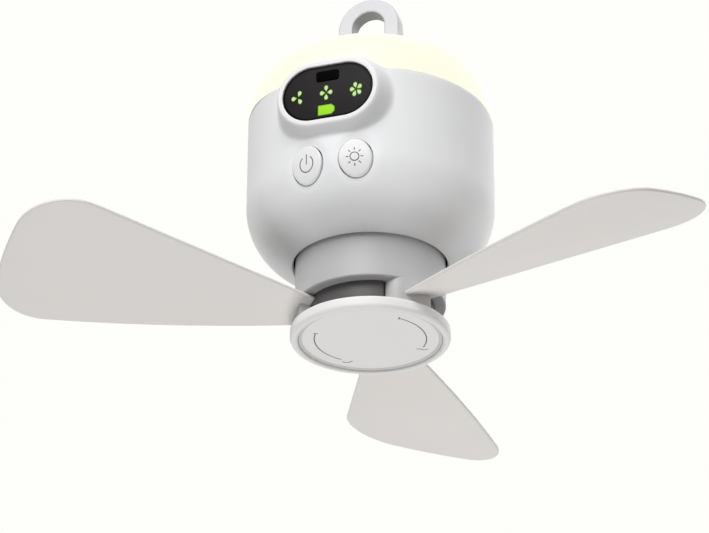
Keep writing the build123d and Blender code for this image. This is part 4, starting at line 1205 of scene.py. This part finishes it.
class FAN_OT_blades(bpy.types.Operator):
    """Makes the three blades and their roots"""

    bl_idname = "fan.blades"
    bl_label = "Blades"

    def execute(self, context):
        r, c = chosen("fan_rotor"), chosen("fan_colours")
        tilt = (Matrix.Translation((0, 0, r.middle)) @ Matrix.Rotation(r.pitch, 4, "X")
                @ Matrix.Rotation(-r.rise, 4, "Y"))
        blade = slab(blade_outline(r.sweep, r.tip), -r.thick / 2, r.thick / 2, r.edge,
                     lambda *point: tilt @ Vector(point))
        low = box_of("lock_cap")[1].z + ROOT_TO_CAP
        high = box_of("motor_bell")[0].z - ROOT_TO_BELL
        # The roots take the neck's grey, which is painted shade.
        root = slab(sector(r.neck, ROOT_INNER, *ROOT), low, high + ROOT_OVER_RECESS, ROOT_EDGE,
                    upright)
        # The recess walls take a near-black that is painted shade.
        wall = slab(sector(r.neck - RECESS_STEP, ROOT_INNER, *RECESS), low, high, RECESS_EDGE,
                    upright)
        for shape, name, paint, colour, *replaced in (
                (blade, "blades", "blade white", c.blade, "blade_1", "blade_2", "blade_3"),
                (root, "blade_roots", "root white", c.neck),
                (wall, "root_walls", "recess grey", c.recess)):
            mesh = copied_round(shape, name, moulded(paint, colour), r.blades, r.first,
                                (0, 0, 1), (0, 0, 0))
            place_piece(mesh, name, "rotor", "white_blade", *replaced)
        return {"FINISHED"}


# -------------------- twist cap


# Each arrow's two ends, as bearings, and the lines of its two heads, as bearings and steps
# outwards from the arrow.
ARROWS = (
    (212.0, 140.0, ((213.5, -0.7), (212.0, 0.0), (211.6, 0.8)),
     ((136.5, 1.4), (133.0, 1.6), (130.0, 0.8), (128.0, -0.6))),
    (318.5, 397.0, ((317.4, 0.8), (318.5, 0.0), (319.6, -0.7)),
     ((404.0, -1.7), (402.0, -0.2), (403.0, 1.0), (399.5, 2.2))),
)
ARROW_INK = 0.03
CAP_LIP = 0.7
CAP_FILLET = 2.2
CAP_RINGS = (22.0, 18.0, 12.0, 6.0)
CAP_STEPS, FILLET_STEPS, ARROW_STEPS = 144, 10, 48


class FAN_OT_cap(bpy.types.Operator):
    """Makes the cap's disc and its printed arrows"""

    bl_idname = "fan.cap"
    bl_label = "Cap disc"

    def execute(self, context):
        r, c = chosen("fan_rotor"), chosen("fan_colours")
        low, high = box_of("cap_disc")
        squeeze = (low.z - CAP_LIP) / CAP_FILLET
        wall = [(high.x, high.z), (high.x, CAP_LIP)]
        fillet = arc(high.x - CAP_FILLET, 0, CAP_FILLET, 0, 90, FILLET_STEPS)
        wall += [(x, CAP_LIP + z * squeeze) for x, z in fillet[1:]]
        wall += [(radius, low.z) for radius in CAP_RINGS]
        rings = [[(x, y, z) for x, y in arc(0, 0, radius, 0, 360, CAP_STEPS)[:-1]]
                 for radius, z in wall]
        make_piece(skin(rings), "cap_face", moulded("disc white", c.disc, marks=cap_painted_shade),
                   "twist_cap", "white_cap", "cap_disc")
        lines = []
        for start, end, *heads in ARROWS:
            lines.append(arc(0, 0, r.arrow_at, start, end, ARROW_STEPS))
            lines += [[polar(r.arrow_at + out, turn) for turn, out in head] for head in heads]
        arrows = skin(*(ribbon(line, r.arrow_line,
                               lambda x, y, out: upright(x, y, low.z - ARROW_INK - out))
                        for line in lines))
        make_piece(arrows, "cap_arrows", moulded("arrow grey", c.print, roughness=0.6),
                   "twist_cap", "grey_print")
        return {"FINISHED"}


# -------------------- stage


FLOOR_Z = -2.6
FLOOR_HALF = 6.0
FLOOR_COLOUR = (0.80, 0.80, 0.79)
BACKGROUND = (0.991, 0.991, 0.956)
WORLD_LIGHT = 0.37
# Each lamp's place, width and power.
LAMPS = {
    "key lamp": ((0.05, -1.22, 0.85), 1.0, 19.0),
    "low lamp": ((-0.15, 0.15, -1.45), 0.9, 8.0),
    "back lamp": ((0.6, 1.3, 0.6), 1.2, 6.0),
}
CAMERA_AT = (0.28120, -0.84410, -0.55743)
CAMERA_AHEAD = (-0.287523, 0.844593, 0.451656)
CAMERA_ROLL = 0.26
CAMERA_LENS = 138.97


def seen_directly(wiring):
    """1 for rays that the camera sees directly, in a mirror or through glass."""
    rays = [wiring.node("ShaderNodeLightPath", output=name)
            for name in ("Is Camera Ray", "Is Glossy Ray", "Is Transmission Ray")]
    return rays[0].at_least(rays[1]).at_least(rays[2])


def build_floor():
    """A pale floor far below the hanging fan."""
    bm = bmesh.new()
    bmesh.ops.create_grid(bm, x_segments=8, y_segments=8, size=FLOOR_HALF)
    bmesh.ops.translate(bm, verts=bm.verts, vec=(0, 0, FLOOR_Z))
    mesh = bpy.data.meshes.new("floor")
    bm.to_mesh(mesh)
    bm.free()
    floor = bpy.data.objects.new("floor", mesh)
    bpy.context.scene.collection.objects.link(floor)
    paint = Paint("floor paint")
    speckle = paint.noise(400.0, seed=0.0, detail=3.0)
    paint.finish(base_color=paint.vary(speckle, FLOOR_COLOUR, 0.98, 1.02), roughness=0.9)
    glow = paint.node("ShaderNodeEmission", None, {"Color": BACKGROUND, "Strength": 1.0})
    shown = paint.node("ShaderNodeMixShader", None,
                       (seen_directly(paint), Field(paint, paint.shader.outputs[0]), glow))
    paint.feed(paint.tree.nodes["Material Output"].inputs["Surface"], shown)
    mesh.materials.append(paint.material)


def light_world(scene):
    """Even light from all round, and a plain pale background."""
    scene.world = bpy.data.worlds.new("surroundings")
    scene.world.use_nodes = True
    scene.world.node_tree.nodes.clear()
    wiring = Wiring(scene.world.node_tree)
    light = wiring.node("ShaderNodeBackground", None, ((1.0, 1.0, 1.0), WORLD_LIGHT))
    plain = wiring.node("ShaderNodeBackground", None, (BACKGROUND, 1.0))
    shown = wiring.node("ShaderNodeMixShader", None, (seen_directly(wiring), light, plain))
    wiring.node("ShaderNodeOutputWorld", None, {"Surface": shown})


def hang_lamps():
    """Large soft lamps, each aimed at the fan: the main one is high up in front."""
    for name, (place, width, power) in LAMPS.items():
        data = bpy.data.lights.new(name, "AREA")
        data.shape = "SQUARE"
        data.size = width
        data.energy = power
        lamp = bpy.data.objects.new(name, data)
        lamp.location = place
        lamp.rotation_euler = (-Vector(place)).to_track_quat("-Z", "Y").to_euler()
        lamp.visible_camera = False
        bpy.context.scene.collection.objects.link(lamp)


def aim_camera(scene):
    """A long lens that looks up at the fan from in front, a little to the right."""
    data = bpy.data.cameras.new("camera")
    data.sensor_width = 36.0
    data.lens = CAMERA_LENS
    camera = bpy.data.objects.new("camera", data)
    camera.location = CAMERA_AT
    aim = Vector(CAMERA_AHEAD).to_track_quat("-Z", "Y").to_matrix()
    roll = Matrix.Rotation(radians(CAMERA_ROLL), 3, "Z")
    camera.rotation_euler = (aim @ roll).to_euler()
    scene.collection.objects.link(camera)
    scene.camera = camera


class FAN_OT_stage(bpy.types.Operator):
    """Sets up the floor, the lamps, the white surroundings and the camera"""

    bl_idname = "fan.stage"
    bl_label = "Stage"

    def execute(self, context):
        build_floor()
        light_world(context.scene)
        hang_lamps()
        aim_camera(context.scene)
        context.scene.view_settings.view_transform = "Standard"
        return {"FINISHED"}


# -------------------- CAD nodes that stay


INNER_PLASTICS = {
    "cell_wrap": ("cell wrap", (0.05, 0.15, 0.30), 0.3),
    "circuit_board": ("circuit board", (0.02, 0.13, 0.06), 0.4),
    "inner_frame": ("inner frame", (0.12, 0.12, 0.125), 0.5),
    "led": ("warm phosphor", (0.85, 0.70, 0.25), 0.35),
    "white_reflector": ("reflector white", (0.86, 0.86, 0.85), 0.4),
    "black_gloss": ("black lens", (0.003, 0.003, 0.003), 0.15),
}
METALS = {
    "steel": ("shaft steel", (0.55, 0.55, 0.57), 0.3),
    "plated_steel": ("bell plating", (0.58, 0.58, 0.60), 0.35),
    "copper": ("coil copper", (0.80, 0.37, 0.17), 0.3),
    "laminations": ("core laminations", (0.34, 0.34, 0.36), 0.45),
    "magnet": ("dark magnet", (0.15, 0.15, 0.16), 0.5),
    "nickel": ("nickel strip", (0.62, 0.58, 0.52), 0.25),
}


class FAN_OT_finishes(bpy.types.Operator):
    """Gives every node of the frame its finish"""

    bl_idname = "fan.finishes"
    bl_label = "Finishes"

    def execute(self, context):
        c = chosen("fan_colours")
        paints = {
            "white_shell": moulded("shell white", c.shell),
            "white_button": moulded("button white", c.button),
            # The neck's grey is painted shade.
            "white_hub": moulded("neck white with painted shade", c.neck),
            "white_cap": moulded("cap white", c.cap, marks=cap_painted_shade),
            "white_blade": moulded("blade white", c.blade),
            "grey_hook": moulded("hook grey", c.hook, marks=hook_painted_shade),
            "grey_print": moulded("symbol grey", c.print, roughness=0.6),
            "green_light": lit("icon green", c.battery),
            "lamp_glow": lamp_glow(c.lamp),
        }
        paints.update((slot, moulded(*finish)) for slot, finish in INNER_PLASTICS.items())
        paints.update((slot, metal(*finish)) for slot, finish in METALS.items())
        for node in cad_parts.values():
            for place in node.material_slots:
                place.material = paints[place.material.name.split(".")[0]]
        return {"FINISHED"}


class FAN_PT_sidebar(bpy.types.Panel):
    """Lists the fan's steps and its settings"""

    bl_idname = "FAN_PT_sidebar"
    bl_label = "Camping fan"
    bl_space_type = "VIEW_3D"
    bl_region_type = "UI"
    bl_category = "Camping fan"

    def draw(self, context):
        for operator in OPERATORS:
            self.layout.operator(operator.bl_idname)
        for name, group in SETTINGS.items():
            for key in group.__annotations__:
                self.layout.prop(getattr(context.scene, name), key)


OPERATORS = (FAN_OT_finishes, FAN_OT_shell, FAN_OT_display, FAN_OT_buttons, FAN_OT_blades,
             FAN_OT_cap, FAN_OT_stage)
CLASSES = (*SETTINGS.values(), *OPERATORS, FAN_PT_sidebar)


def register():
    for item in CLASSES:
        bpy.utils.register_class(item)
    for name, group in SETTINGS.items():
        setattr(bpy.types.Scene, name, bpy.props.PointerProperty(type=group))


def unregister():
    for name in SETTINGS:
        delattr(bpy.types.Scene, name)
    for item in reversed(CLASSES):
        bpy.utils.unregister_class(item)


def main():
    register()
    for operator in OPERATORS:
        group, name = operator.bl_idname.split(".")
        getattr(getattr(bpy.ops, group), name)()


if __name__ == "__main__":
    main()
